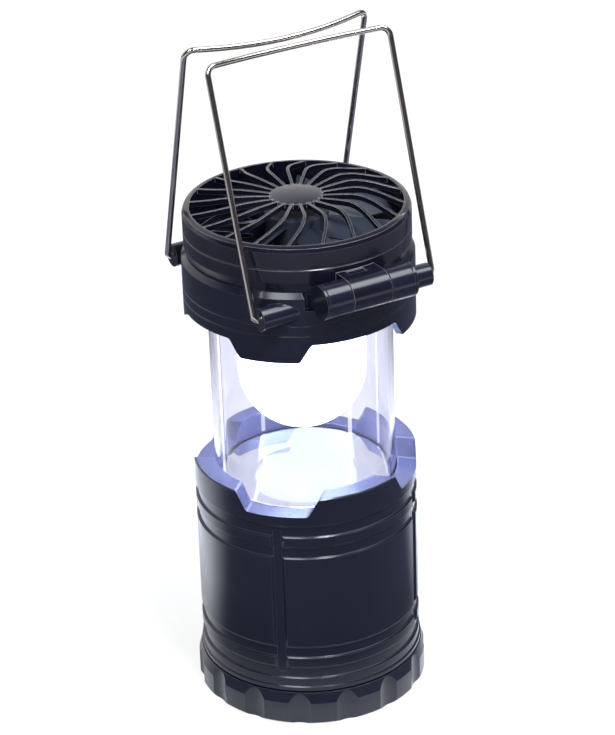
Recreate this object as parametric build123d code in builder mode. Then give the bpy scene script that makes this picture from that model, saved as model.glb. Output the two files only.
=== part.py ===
from build123d import *
import os
from math import cos, radians, sin, sqrt

# Pop-up camping lantern with a flip-up fan on its head. Millimetres, +Z up, front towards -Y.
# The origin is on the lantern's axis, on the surface that it stands on.
# The lantern is drawn pulled open, with both wire handles raised.

# Battery cap
cap_height = 13.4
cap_overhang = 2.0
cap_top_overhang = 0.7
cap_cone_height = 4.2
cap_floor = 2.0
foot_round = 0.7
scallop_count = 15
scallop_width = 9.6
scallop_depth = 1.2

# Bayonet between cap and body
neck_step = 2.4
neck_wall = 1.8
neck_depth = 9.0
twist_clearance = 0.3
lug_count = 3
lug_height = 1.8
lug_depth = 1.4
lug_angle = 22.0
lug_rise = 1.8
lug_play = 0.4
entry_play_angle = 4.0
cap_turn = 40.0

# Seal
seal_thickness = 0.8
seal_inset = 0.9

# Body
body_height = 83.8
body_wall = 2.2
bead_height = 1.4
bead_proud = 0.5
groove_depth = 0.8
groove_height = 4.4
groove_pitch = 9.1
groove_lip = 0.5
groove_draft = 1.0
lower_groove_rise = 5.6
upper_groove_drop = 11.6
panel_count = 4
strip_width = 3.2
strip_depth = 0.9
strip_draft = 1.2
deck_width = 7.35
deck_thickness = 9.0
notch_depth = 7.4
notch_mouth = 32.6
notch_floor_width = 24.2
notch_round = 1.5

# Battery compartment
floor_thickness = 2.0
floor_clearance = 0.2
cell_radius = 7.1
cell_length = 50.0
cell_count = 3
cell_gap = 0.5
cell_floor_gap = 0.9
tray_wall = 2.6
tray_end = 3.2
tray_clearance = 0.97
contact_thickness = 0.5
contact_width = 11.0
contact_height = 8.0
rail_radius = 1.2
rail_count = 2

# Telescoping clear tube
tube_wall = 1.8
tube_clearance = 0.3
tube_rib_proud = 0.35
tube_rib_width = 1.5
tube_rib_count = 4
stop_ring_proud = 0.6
stop_ring_height = 2.2
stop_gap = 0.4
pop_travel = 64.2
closed_gap = 0.4
brush_width = 4.0
brush_gap = 0.2

# Reflector in the foot of the tube
bowl_wall = 0.8
bowl_clearance = 0.4
bowl_rise = 2.4
bowl_floor_radius = 20.7
bowl_sag = 0.55
bowl_ledge_thickness = 0.8
bowl_ledge_width = 3.0

# Lantern head
head_overhang = 0.9
head_height = 20.7
head_wall = 2.2
flange_rise = 18.7
flange_chamfer = 1.8
rim_wall = 2.2
lip_line_low = 3.9
lip_line_high = 8.0
lip_line_width = 0.5
lip_line_depth = 0.35
tooth_height = 7.0
tooth_play = 0.6
tooth_round = 1.6
ceiling_rise = 3.4
ceiling_thickness = 2.0
ceiling_lip = 3.2
socket_wall = 2.0
socket_clearance = 0.2
socket_height = 2.8
ledge_width = 1.5
ledge_thickness = 2.0
deck_plate_thickness = 2.0
deck_plate_clearance = 0.2
deck_plate_inset = 0.2
post_radius = 3.0
post_inset = 6.9
screw_count = 3
screw_radius = 1.2
screw_hole_play = 0.1
screw_head_radius = 2.6
screw_head_height = 1.2
screw_head_play = 0.15
screw_depth = 9.0

# Lamp
dome_radius = 24.5
dome_wall = 1.2
dome_sphere_drop = 27.9
dome_flange_radius = 27.5
dome_flange_thickness = 1.2
lamp_plate_thickness = 2.6
lamp_plate_clearance = 0.4
board_radius = 20.0
board_thickness = 1.5
emitter_size = 3.5
emitter_thickness = 0.8
emitter_count = 6
emitter_circle_radius = 12.0

# Wire handles
wire_radius = 1.1
handle_axis_inset = 9.9
handle_axis_drop = 8.0
handle_leg_inset = 6.1
handle_length = 92.8
handle_bow_depth = 10.3
handle_corner_radius = 3.6
handle_foot_radius = 1.8
front_lean = 17.5
rear_lean = 14.6
boss_radius = 4.4
boss_root = 20.0
boss_leg_gap = 0.9
socket_play = 0.08
wire_socket_depth = 7.0

# Flip-up hinge between head and fan
hinge_offset = 5.0
hinge_rise = 0.2
barrel_radius = 6.5
barrel_half_length = 17.6
leaf_half_width = 8.0
knuckle_gap = 0.3
hinge_pin_radius = 1.6
hinge_pin_play = 0.05
end_cap_thickness = 1.4
end_cap_neck = 0.5
end_cap_neck_thickness = 0.35
pocket_side_gap = 0.8
pocket_floor_gap = 0.5
pocket_back = 6.7
pocket_wall = 2.0
hinge_block_overlap = 0.1
web_height = 5.0
web_top_gap = 0.5
leaf_thickness = 3.4
leaf_window_length = 7.0
leaf_window_width = 3.2
leaf_window_depth = 0.4
leaf_window_gap = 0.2
leaf_window_x = -1.0
leaf_root = 1.4

# Fan
drum_inset = 1.1
drum_wall = 2.0
fan_gap = 0.3
pan_height = 8.7
pan_taper = 0.9
pan_taper_height = 3.6
pan_floor = 2.0
parting_chamfer = 0.3
grille_height = 8.7
grille_round = 2.1
grille_edge = 0.62
grille_rim = 0.7
hub_radius = 10.0
hub_rise = 4.2
hub_edge = 1.4
hub_crown_radius = 5.5
hub_crown_drop = 0.35
vane_count = 20
vane_width = 1.1
vane_depth = 2.0
vane_mid_radius = 22.0
vane_mid_lead = 9.0
vane_tip_lag = 11.0
vane_rim_drop = 0.6
vane_hub_drop = 2.0
vane_crown = 0.5
intake_count = 12
intake_length = 17.0
intake_width = 3.6
intake_circle_radius = 26.0
motor_radius = 10.0
motor_height = 7.0
motor_nose_radius = 3.0
motor_nose_height = 0.6
shaft_radius = 1.0
shaft_play = 0.03
shaft_depth = 5.0
impeller_hub_radius = 12.0
impeller_hub_wall = 1.2
impeller_hub_height = 9.6
impeller_hub_top = 2.0
impeller_boss_radius = 2.8
impeller_boss_height = 1.8
impeller_lift = 2.4
blade_count = 7
blade_tip_gap = 2.0
blade_thickness = 1.0
blade_root_chord = 9.0
blade_tip_chord = 13.0
blade_root_pitch = 42.0
blade_tip_pitch = 24.0
motor_screw_count = 2
motor_screw_circle_radius = 7.0
motor_screw_head_radius = 1.8
motor_screw_head_height = 0.7

# Fan switch at the back of the head
switch_rise = 9.5
switch_travel = 4.0
knob_length = 5.0
knob_height = 3.6
knob_proud = 1.5
switch_slot_play = 0.4
switch_case_length = 15.0
switch_case_height = 7.0
switch_case_depth = 4.5
switch_case_gap = 0.3

# Heights worked out from the sizes above
body_bottom = cap_height + seal_thickness
rim_z = body_bottom + body_height
deck_bottom = rim_z - deck_thickness
notch_floor_z = rim_z - notch_depth
skirt_z = rim_z + pop_travel + closed_gap
tooth_tip_z = skirt_z - tooth_height
flange_z = skirt_z + flange_rise
head_top = skirt_z + head_height
ceiling_bottom = skirt_z + ceiling_rise
ceiling_top = ceiling_bottom + ceiling_thickness
ledge_top = head_top - deck_plate_inset - deck_plate_thickness
deck_plate_top = ledge_top + deck_plate_thickness
handle_z = head_top - handle_axis_drop
hinge_z = head_top + hinge_rise
pan_bottom = head_top + fan_gap
pan_top = pan_bottom + pan_height
grille_top = pan_top + grille_height
hub_top = grille_top + hub_rise
pan_floor_top = pan_bottom + pan_floor
motor_top = pan_floor_top + motor_height
impeller_bottom = pan_floor_top + impeller_lift
impeller_top = impeller_bottom + impeller_hub_height
lamp_plate_bottom = ceiling_bottom - lamp_plate_thickness
dome_flange_bottom = lamp_plate_bottom - dome_flange_thickness
dome_centre_z = skirt_z - dome_sphere_drop
cell_z = cap_floor + cell_floor_gap + cell_radius
floor_bottom = cell_z + cell_radius + cell_gap
floor_top = floor_bottom + floor_thickness
neck_bottom = body_bottom - neck_depth
lug_bottom = neck_bottom + lug_rise

# Radii worked out from the sizes above; the cell tray sets the body's
cell_pitch = 2 * cell_radius + cell_gap
tray_length = cell_length + 2 * contact_thickness + 2 * tray_end
tray_width = cell_count * cell_pitch + 2 * tray_wall
neck_bore = sqrt(tray_length**2 + tray_width**2) / 2 + tray_clearance
neck_radius = neck_bore + neck_wall
body_radius = neck_radius + neck_step
cap_radius = body_radius + cap_overhang
cap_bore = neck_radius + twist_clearance
lug_radius = neck_radius + lug_depth
lug_groove_radius = lug_radius + twist_clearance
body_bore = body_radius - body_wall
groove_radius = body_radius - groove_depth
deck_bore = body_radius - deck_width
tube_radius = deck_bore - tube_clearance - tube_rib_proud
tube_bore = tube_radius - tube_wall
stop_ring_radius = deck_bore + stop_ring_proud
bowl_radius = tube_bore - bowl_clearance
ceiling_hole_radius = tube_bore - ceiling_lip
head_radius = body_radius + head_overhang
head_bore = head_radius - head_wall
rim_inner_radius = head_radius - flange_chamfer - rim_wall
drum_radius = head_radius - drum_inset
drum_bore = drum_radius - drum_wall
rim_bore = drum_radius - grille_round - grille_rim
handle_axis_y = head_radius - handle_axis_inset
handle_leg_x = head_radius - handle_leg_inset
hinge_y = -(head_radius + hinge_offset)
post_circle_radius = rim_inner_radius - post_inset
brush_reach = body_bore - stop_ring_radius - 2 * rail_radius - 2 * brush_gap
rail_orbit = body_bore - brush_gap - rail_radius
tube_bottom = deck_bottom - stop_gap - stop_ring_height
tube_top = ceiling_bottom - socket_clearance
bowl_floor_bottom = tube_bottom + bowl_ledge_thickness
bowl_rim_z = bowl_floor_bottom + bowl_rise


def outline(*points):
    """Returns the closed profile through points of radius and height, to turn about the axis."""
    with BuildSketch(Plane.XZ) as drawn:
        with BuildLine():
            Polyline(*points, close=True)
        make_face()
    return drawn.sketch


def radial_plane(angle, height):
    """Returns a plane at the axis that faces outwards at an angle, with its Y upwards."""
    turn = radians(angle)
    return Plane(
        origin=(0, 0, height),
        x_dir=(-sin(turn), cos(turn), 0),
        z_dir=(cos(turn), sin(turn), 0),
    )


def trapezoid(angle, height, top_width, bottom_width, depth, rise, rounding):
    """Returns a tapered tongue that hangs from a height and faces outwards, its corners rounded."""
    shoulder = top_width / 2 + 2 * rounding
    with BuildSketch(radial_plane(angle, height)) as drawn:
        Polygon(
            (-shoulder, rise),
            (-shoulder, 0),
            (-top_width / 2, 0),
            (-bottom_width / 2, -depth),
            (bottom_width / 2, -depth),
            (top_width / 2, 0),
            (shoulder, 0),
            (shoulder, rise),
            align=None,
        )
        levels = drawn.vertices().group_by(Axis.Y)
        fillet(levels[0] + levels[1].sort_by(Axis.X)[1:-1], radius=rounding)
    return drawn.sketch


def finish(piece, name):
    """Labels a finished piece and writes it."""
    piece.part.label = name
    export_step(piece.part, f"parts/{name}.step")


os.makedirs("parts", exist_ok=True)
first_panel_angle = 180 / panel_count

# Battery cap: a scalloped twist-off cup with a bayonet groove and its entry slots
lug_groove_bottom = lug_bottom - lug_play
lug_groove_top = lug_bottom + lug_height + lug_play
entry_angle = lug_angle + entry_play_angle
first_lug_angle = 90.0
scallop_radius = (scallop_width**2 / 4 + scallop_depth**2) / (2 * scallop_depth)
with BuildPart() as entry_slot:
    revolve(
        outline(
            (cap_bore - twist_clearance, lug_groove_bottom),
            (lug_groove_radius, lug_groove_bottom),
            (lug_groove_radius, cap_height + cap_floor),
            (cap_bore - twist_clearance, cap_height + cap_floor),
        ),
        axis=Axis.Z,
        revolution_arc=entry_angle,
    )
with BuildPart() as battery_cap:
    revolve(
        outline(
            (0, 0),
            (cap_radius - foot_round, 0),
            (cap_radius, foot_round),
            (cap_radius, cap_height - cap_cone_height),
            (body_radius + cap_top_overhang, cap_height),
            (cap_bore, cap_height),
            (cap_bore, lug_groove_top),
            (lug_groove_radius, lug_groove_top),
            (lug_groove_radius, lug_groove_bottom),
            (cap_bore, lug_groove_bottom),
            (cap_bore, cap_floor),
            (0, cap_floor),
        ),
        axis=Axis.Z,
    )
    with PolarLocations(cap_radius - scallop_depth + scallop_radius, scallop_count, start_angle=90):
        Cylinder(
            scallop_radius,
            cap_height,
            align=(Align.CENTER, Align.CENTER, Align.MIN),
            mode=Mode.SUBTRACT,
        )
    with PolarLocations(0, lug_count, start_angle=first_lug_angle - cap_turn - entry_angle / 2):
        add(entry_slot.part, mode=Mode.SUBTRACT)
finish(battery_cap, "battery_cap")

# Seal: a flat rubber ring between cap and body
with BuildPart() as cap_seal:
    with BuildSketch(Plane.XY.offset(cap_height)):
        Circle(body_radius - seal_inset)
        Circle(cap_bore, mode=Mode.SUBTRACT)
    extrude(amount=seal_thickness)
finish(cap_seal, "cap_seal")

# Body: a grooved shell with a deep notched rim and the neck that the cap locks on
body_wall_points = [
    (body_radius + bead_proud, body_bottom),
    (body_radius + bead_proud, body_bottom + bead_height),
    (body_radius, body_bottom + bead_height + bead_proud),
]
lower_groove = body_bottom + lower_groove_rise
upper_groove = rim_z - upper_groove_drop - groove_height
for level in (lower_groove, lower_groove + groove_pitch, upper_groove - groove_pitch, upper_groove):
    body_wall_points += [
        (body_radius, level - groove_lip),
        (body_radius - groove_lip, level),
        (groove_radius, level),
        (groove_radius, level + groove_height - groove_draft / 2),
        (body_radius, level + groove_height + groove_draft / 2),
    ]
with BuildPart() as lug:
    revolve(
        outline(
            (neck_radius - neck_wall / 2, lug_bottom),
            (lug_radius, lug_bottom),
            (lug_radius, lug_bottom + lug_height),
            (neck_radius - neck_wall / 2, lug_bottom + lug_height),
        ),
        axis=Axis.Z,
        revolution_arc=lug_angle,
    )
strip_bottom = lower_groove + groove_height / 2
strip_top = upper_groove + groove_height / 2
with BuildPart() as body_shell:
    revolve(
        outline(
            (neck_bore, neck_bottom),
            (neck_radius, neck_bottom),
            (neck_radius, body_bottom),
            *body_wall_points,
            (body_radius, rim_z - groove_lip),
            (body_radius - groove_lip, rim_z),
            (deck_bore, rim_z),
            (deck_bore, deck_bottom),
            (body_bore, deck_bottom),
            (body_bore, floor_bottom),
            (neck_bore, floor_bottom),
        ),
        axis=Axis.Z,
    )
    with BuildSketch(Plane.XY.offset(strip_bottom)):
        with PolarLocations(body_radius, panel_count, start_angle=first_panel_angle):
            Polygon(
                (-strip_depth, -strip_width / 2),
                (strip_depth, -strip_width / 2 - 2 * strip_draft),
                (strip_depth, strip_width / 2 + 2 * strip_draft),
                (-strip_depth, strip_width / 2),
                align=None,
            )
    extrude(amount=strip_top - strip_bottom, mode=Mode.SUBTRACT)
    for corner in range(panel_count):
        extrude(
            trapezoid(
                first_panel_angle + corner * 360 / panel_count,
                rim_z,
                notch_mouth,
                notch_floor_width,
                notch_depth,
                groove_lip,
                notch_round,
            ),
            amount=cap_radius,
            mode=Mode.SUBTRACT,
        )
    with PolarLocations(0, lug_count, start_angle=first_lug_angle - lug_angle / 2):
        add(lug.part)
finish(body_shell, "body_shell")

# Partition above the cells
with BuildPart() as inner_floor:
    with BuildSketch(Plane.XY.offset(floor_bottom)):
        Circle(body_bore - floor_clearance)
    extrude(amount=floor_thickness)
finish(inner_floor, "inner_floor")

# Cells, lying side by side under the partition
cell_rows = [(row - (cell_count - 1) / 2) * cell_pitch for row in range(cell_count)]
with BuildPart() as battery_cells:
    with Locations(*[(0, row, cell_z) for row in cell_rows]):
        Cylinder(cell_radius, cell_length, rotation=(0, 90, 0))
finish(battery_cells, "battery_cells")

# Cell tray: hangs from the partition, with a trough for each cell
contact_x = cell_length / 2 + contact_thickness / 2
with BuildPart() as battery_tray:
    with Locations((0, 0, cell_z)):
        Box(tray_length, tray_width, floor_bottom - cell_z, align=(Align.CENTER, Align.CENTER, Align.MIN))
    with Locations(*[(0, row, cell_z) for row in cell_rows]):
        Cylinder(
            cell_radius + cell_gap / 2,
            cell_length + 2 * contact_thickness,
            rotation=(0, 90, 0),
            mode=Mode.SUBTRACT,
        )
finish(battery_tray, "battery_tray")

# Contact plates at the cell ends
with BuildPart() as cell_contacts:
    with Locations(*[(side * contact_x, row, cell_z) for side in (-1, 1) for row in cell_rows]):
        Box(contact_thickness, contact_width, contact_height)
finish(cell_contacts, "cell_contacts")

# Contact rails, which carry the current up the body's wall
with BuildPart() as contact_rails:
    with PolarLocations(rail_orbit, rail_count):
        with Locations((0, 0, floor_top)):
            Cylinder(
                rail_radius,
                deck_bottom - floor_top,
                align=(Align.CENTER, Align.CENTER, Align.MIN),
            )
finish(contact_rails, "contact_rails")

# Reflector: a shallow mirror with a flat middle, seated on the ledge in the tube's foot
bowl_floor_top = bowl_floor_bottom + bowl_wall
bowl_middle_radius = (bowl_floor_radius + bowl_radius) / 2
bowl_middle_z = (bowl_floor_bottom + bowl_rim_z) / 2 - bowl_sag
with BuildPart() as reflector_bowl:
    with BuildSketch(Plane.XZ):
        with BuildLine():
            under = ThreePointArc(
                (bowl_floor_radius, bowl_floor_bottom),
                (bowl_middle_radius, bowl_middle_z),
                (bowl_radius, bowl_rim_z),
            )
            over = ThreePointArc(
                (bowl_radius - bowl_wall, bowl_rim_z),
                (bowl_middle_radius - bowl_wall / 2, bowl_middle_z + bowl_wall),
                (bowl_floor_radius - bowl_wall / 2, bowl_floor_top),
            )
            Line(under @ 1, over @ 0)
            Polyline(over @ 1, (0, bowl_floor_top), (0, bowl_floor_bottom), under @ 0)
        make_face()
    revolve(axis=Axis.Z)
finish(reflector_bowl, "reflector_bowl")

# Clear tube: slides in the body's deck, held in by its stop ring and guided by its ribs
socket_bottom = ceiling_bottom - socket_height
with BuildPart() as clear_tube:
    revolve(
        outline(
            (bowl_floor_radius - bowl_ledge_width, tube_bottom),
            (stop_ring_radius, tube_bottom),
            (stop_ring_radius, tube_bottom + stop_ring_height),
            (tube_radius, tube_bottom + stop_ring_height),
            (tube_radius, tube_top),
            (tube_bore, tube_top),
            (tube_bore, bowl_floor_bottom),
            (bowl_floor_radius - bowl_ledge_width, bowl_floor_bottom),
        ),
        axis=Axis.Z,
    )
    rib_bottom = tube_bottom + stop_ring_height
    with PolarLocations(tube_radius, tube_rib_count):
        with Locations((0, 0, rib_bottom)):
            Box(
                2 * tube_rib_proud,
                tube_rib_width,
                socket_bottom - socket_clearance - rib_bottom,
                align=(Align.CENTER, Align.CENTER, Align.MIN),
            )
finish(clear_tube, "clear_tube")

# Sliding brushes on the tube's stop ring, which run along the rails
with BuildPart() as tube_brushes:
    with PolarLocations(stop_ring_radius, rail_count):
        with Locations((0, 0, tube_bottom)):
            Box(
                brush_reach,
                brush_width,
                stop_ring_height,
                align=(Align.MIN, Align.CENTER, Align.MIN),
            )
    revolve(
        outline(
            (0, tube_bottom),
            (stop_ring_radius, tube_bottom),
            (stop_ring_radius, tube_bottom + stop_ring_height),
            (0, tube_bottom + stop_ring_height),
        ),
        axis=Axis.Z,
        mode=Mode.SUBTRACT,
    )
finish(tube_brushes, "tube_brushes")

# Gaps between the teeth under the head's skirt, which drop into the notches of the body's rim
with BuildPart() as skirt_gaps:
    revolve(
        outline(
            (head_bore - head_wall, tooth_tip_z - head_wall),
            (head_radius + head_wall, tooth_tip_z - head_wall),
            (head_radius + head_wall, skirt_z),
            (head_bore - head_wall, skirt_z),
        ),
        axis=Axis.Z,
    )
    for corner in range(panel_count):
        extrude(
            trapezoid(
                first_panel_angle + corner * 360 / panel_count,
                skirt_z,
                notch_mouth - 2 * tooth_play,
                notch_floor_width - 2 * tooth_play,
                tooth_height,
                head_wall,
                tooth_round,
            ),
            amount=2 * cap_radius,
            mode=Mode.SUBTRACT,
        )

# Bosses at the four handle ends, outside the head's wall
boss_end = handle_leg_x - wire_radius - boss_leg_gap
boss_length = boss_end - boss_root
boss_middle = (boss_end + boss_root) / 2
handle_ends = [(x, y) for x in (-1, 1) for y in (-1, 1)]
with BuildPart() as handle_bosses:
    with Locations(*[(x * boss_middle, y * handle_axis_y, handle_z) for x, y in handle_ends]):
        Cylinder(boss_radius, boss_length, rotation=(0, 90, 0))
    with Locations((0, 0, handle_z)):
        Cylinder(head_bore + head_wall / 2, 4 * boss_radius, mode=Mode.SUBTRACT)

# Block behind the hinge, inside the head's outline
pocket_half_width = barrel_half_length + end_cap_thickness + pocket_side_gap
pocket_floor = hinge_z - barrel_radius - pocket_floor_gap
pocket_back_y = -(head_radius - pocket_back)
block_back_y = pocket_back_y + pocket_wall
with BuildPart() as hinge_block:
    with Locations((0, block_back_y, pocket_floor - pocket_wall)):
        Box(
            2 * (pocket_half_width + pocket_wall),
            head_radius,
            head_top - pocket_floor + pocket_wall,
            align=(Align.CENTER, Align.MAX, Align.MIN),
        )
    with Locations((0, 0, pocket_floor - pocket_wall)):
        Cylinder(
            head_bore + hinge_block_overlap,
            head_top - pocket_floor + pocket_wall,
            align=(Align.CENTER, Align.CENTER, Align.MIN),
            mode=Mode.INTERSECT,
        )

# Screw posts under the deck plate
post_angles = [90 + turn * 360 / screw_count for turn in range(screw_count)]
post_places = [
    (post_circle_radius * cos(radians(angle)), post_circle_radius * sin(radians(angle)))
    for angle in post_angles
]

# Head: skirt with teeth, ceiling for the lamp, handle bosses, hinge pocket and fixed knuckles
socket_radius = tube_radius + socket_clearance
lip_line_points = []
for rise in (lip_line_low, lip_line_high):
    lip_line_points += [
        (head_radius, skirt_z + rise - lip_line_width / 2),
        (head_radius - lip_line_depth, skirt_z + rise),
        (head_radius, skirt_z + rise + lip_line_width / 2),
    ]
fixed_knuckle_length = barrel_half_length - leaf_half_width - knuckle_gap
fixed_knuckle_x = leaf_half_width + knuckle_gap + fixed_knuckle_length / 2
web_top = head_top - web_top_gap
switch_z = skirt_z + switch_rise
slot_length = knob_length + switch_travel + 2 * switch_slot_play
with BuildPart() as head_shell:
    revolve(
        outline(
            (head_bore, tooth_tip_z),
            (head_radius, tooth_tip_z),
            *lip_line_points,
            (head_radius, flange_z),
            (head_radius - flange_chamfer, head_top),
            (rim_inner_radius, head_top),
            (rim_inner_radius, ledge_top),
            (rim_inner_radius - ledge_width, ledge_top),
            (rim_inner_radius - ledge_width, ledge_top - ledge_thickness),
            (head_bore, ledge_top - ledge_thickness),
            (head_bore, ceiling_top),
            (ceiling_hole_radius, ceiling_top),
            (ceiling_hole_radius, ceiling_bottom),
            (socket_radius, ceiling_bottom),
            (socket_radius, socket_bottom),
            (socket_radius + socket_wall, socket_bottom),
            (socket_radius + socket_wall, ceiling_bottom),
            (head_bore, ceiling_bottom),
        ),
        axis=Axis.Z,
    )
    add(skirt_gaps.part, mode=Mode.SUBTRACT)
    add(handle_bosses.part)
    add(hinge_block.part)
    with Locations((0, pocket_back_y, pocket_floor)):
        Box(
            2 * pocket_half_width,
            head_radius,
            head_height,
            align=(Align.CENTER, Align.MAX, Align.MIN),
            mode=Mode.SUBTRACT,
        )
    with Locations(*[(side * fixed_knuckle_x, hinge_y, hinge_z) for side in (-1, 1)]):
        Cylinder(barrel_radius, fixed_knuckle_length, rotation=(0, 90, 0))
    with Locations(*[(side * fixed_knuckle_x, hinge_y, web_top - web_height) for side in (-1, 1)]):
        Box(
            fixed_knuckle_length,
            pocket_back_y - hinge_y + pocket_wall / 2,
            web_height,
            align=(Align.CENTER, Align.MIN, Align.MIN),
        )
    with Locations((0, hinge_y, hinge_z)):
        Cylinder(
            hinge_pin_radius + hinge_pin_play,
            2 * barrel_half_length,
            rotation=(0, 90, 0),
            mode=Mode.SUBTRACT,
        )
    with Locations(*[(*place, ceiling_top) for place in post_places]):
        Cylinder(
            post_radius,
            ledge_top - ceiling_top,
            align=(Align.CENTER, Align.CENTER, Align.MIN),
        )
    with Locations(*[(*place, ledge_top - screw_depth) for place in post_places]):
        Cylinder(
            screw_radius + screw_hole_play,
            screw_depth,
            align=(Align.CENTER, Align.CENTER, Align.MIN),
            mode=Mode.SUBTRACT,
        )
    socket_middle = boss_end - wire_socket_depth / 2
    with Locations(*[(x * socket_middle, y * handle_axis_y, handle_z) for x, y in handle_ends]):
        Cylinder(wire_radius + socket_play, wire_socket_depth, rotation=(0, 90, 0), mode=Mode.SUBTRACT)
    with Locations((0, head_radius, switch_z)):
        Box(slot_length, 4 * head_wall, knob_height + 2 * switch_slot_play, mode=Mode.SUBTRACT)
finish(head_shell, "head_shell")

# Deck plate that closes the head under the fan
deck_plate_radius = rim_inner_radius - deck_plate_clearance
with BuildPart() as deck_plate:
    with BuildSketch(Plane.XY.offset(ledge_top)):
        Circle(deck_plate_radius)
        with Locations((0, block_back_y + deck_plate_clearance)):
            Rectangle(3 * head_radius, head_radius, align=(Align.CENTER, Align.MAX), mode=Mode.SUBTRACT)
        with Locations(*post_places):
            Circle(screw_radius + screw_hole_play, mode=Mode.SUBTRACT)
    extrude(amount=deck_plate_thickness)
    with BuildSketch(Plane.XY.offset(deck_plate_top)):
        with Locations(*post_places):
            Circle(screw_head_radius + screw_head_play)
    extrude(amount=-screw_head_height, mode=Mode.SUBTRACT)
finish(deck_plate, "deck_plate")

# Screws of the deck plate
screw_shank = deck_plate_thickness - screw_head_height + screw_depth - screw_hole_play
with BuildPart() as deck_screws:
    with Locations(*[(*place, deck_plate_top - screw_head_height) for place in post_places]):
        Cylinder(screw_head_radius, screw_head_height, align=(Align.CENTER, Align.CENTER, Align.MIN))
        Cylinder(screw_radius, screw_shank, align=(Align.CENTER, Align.CENTER, Align.MAX))
finish(deck_screws, "deck_screws")

# Lamp: white plate, board, emitters and the frosted dome that hangs in the tube
with BuildPart() as lamp_plate:
    with BuildSketch(Plane.XY.offset(lamp_plate_bottom)):
        Circle(tube_bore - lamp_plate_clearance)
    extrude(amount=lamp_plate_thickness)
finish(lamp_plate, "lamp_plate")

with BuildPart() as led_board:
    with BuildSketch(Plane.XY.offset(lamp_plate_bottom)):
        Circle(board_radius)
    extrude(amount=-board_thickness)
finish(led_board, "led_board")

with BuildPart() as led_emitters:
    with BuildSketch(Plane.XY.offset(lamp_plate_bottom - board_thickness)):
        with PolarLocations(emitter_circle_radius, emitter_count):
            Rectangle(emitter_size, emitter_size)
        Rectangle(emitter_size, emitter_size)
    extrude(amount=-emitter_thickness)
finish(led_emitters, "led_emitters")

dome_bore = dome_radius - dome_wall
with BuildPart() as light_dome:
    with BuildSketch(Plane.XZ):
        with BuildLine():
            outer_dome = CenterArc((0, dome_centre_z), dome_radius, -90, 90)
            Polyline(
                outer_dome @ 1,
                (dome_radius, dome_flange_bottom),
                (dome_flange_radius, dome_flange_bottom),
                (dome_flange_radius, lamp_plate_bottom),
                (dome_bore, lamp_plate_bottom),
                (dome_bore, dome_centre_z),
            )
            inner_dome = CenterArc((0, dome_centre_z), dome_bore, 0, -90)
            Line(inner_dome @ 1, outer_dome @ 0)
        make_face()
    revolve(axis=Axis.Z)
finish(light_dome, "light_dome")

# Hinge pin and its end caps
with BuildPart() as hinge_pin:
    with Locations((0, hinge_y, hinge_z)):
        Cylinder(hinge_pin_radius, 2 * barrel_half_length, rotation=(0, 90, 0))
finish(hinge_pin, "hinge_pin")

with BuildPart() as hinge_caps:
    neck_x = barrel_half_length + end_cap_neck_thickness / 2
    with Locations(*[(side * neck_x, hinge_y, hinge_z) for side in (-1, 1)]):
        Cylinder(barrel_radius - end_cap_neck, end_cap_neck_thickness, rotation=(0, 90, 0))
    rim_thickness = end_cap_thickness - end_cap_neck_thickness
    cap_x = barrel_half_length + end_cap_neck_thickness + rim_thickness / 2
    with Locations(*[(side * cap_x, hinge_y, hinge_z) for side in (-1, 1)]):
        Cylinder(barrel_radius, rim_thickness, rotation=(0, 90, 0))
finish(hinge_caps, "hinge_caps")

# Fan pan: lower half of the fan drum, with the hinge leaf and its intake slots
pan_foot_radius = drum_radius - pan_taper
leaf_top = hinge_z + barrel_radius
leaf_back_y = -(drum_radius - leaf_root)
window_back_y = -(drum_radius + leaf_window_gap)
with BuildPart() as fan_pan:
    revolve(
        outline(
            (0, pan_bottom),
            (pan_foot_radius, pan_bottom),
            (drum_radius, pan_bottom + pan_taper_height),
            (drum_radius, pan_top - parting_chamfer),
            (drum_radius - parting_chamfer, pan_top),
            (drum_bore, pan_top),
            (drum_bore, pan_bottom + pan_taper_height),
            (pan_foot_radius - drum_wall, pan_floor_top),
            (0, pan_floor_top),
        ),
        axis=Axis.Z,
    )
    with BuildSketch(Plane.XY.offset(pan_bottom)):
        with PolarLocations(intake_circle_radius, intake_count, start_angle=180 / intake_count):
            SlotOverall(intake_length, intake_width)
    extrude(amount=pan_floor, mode=Mode.SUBTRACT)
    with Locations((0, leaf_back_y, leaf_top)):
        Box(
            2 * leaf_half_width,
            leaf_back_y - hinge_y,
            leaf_thickness,
            align=(Align.CENTER, Align.MAX, Align.MAX),
        )
    with Locations((0, hinge_y, hinge_z)):
        Cylinder(barrel_radius, 2 * leaf_half_width, rotation=(0, 90, 0))
        Cylinder(
            hinge_pin_radius + hinge_pin_play,
            2 * leaf_half_width,
            rotation=(0, 90, 0),
            mode=Mode.SUBTRACT,
        )
    with Locations((leaf_window_x, window_back_y, leaf_top)):
        Box(
            leaf_window_length,
            leaf_window_width,
            2 * leaf_window_depth,
            align=(Align.CENTER, Align.MAX, Align.CENTER),
            mode=Mode.SUBTRACT,
        )
    with BuildSketch(Plane.XY.offset(pan_bottom)):
        with PolarLocations(motor_screw_circle_radius, motor_screw_count):
            Circle(motor_screw_head_radius + screw_head_play)
    extrude(amount=motor_screw_head_height, mode=Mode.SUBTRACT)
finish(fan_pan, "fan_pan")

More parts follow.
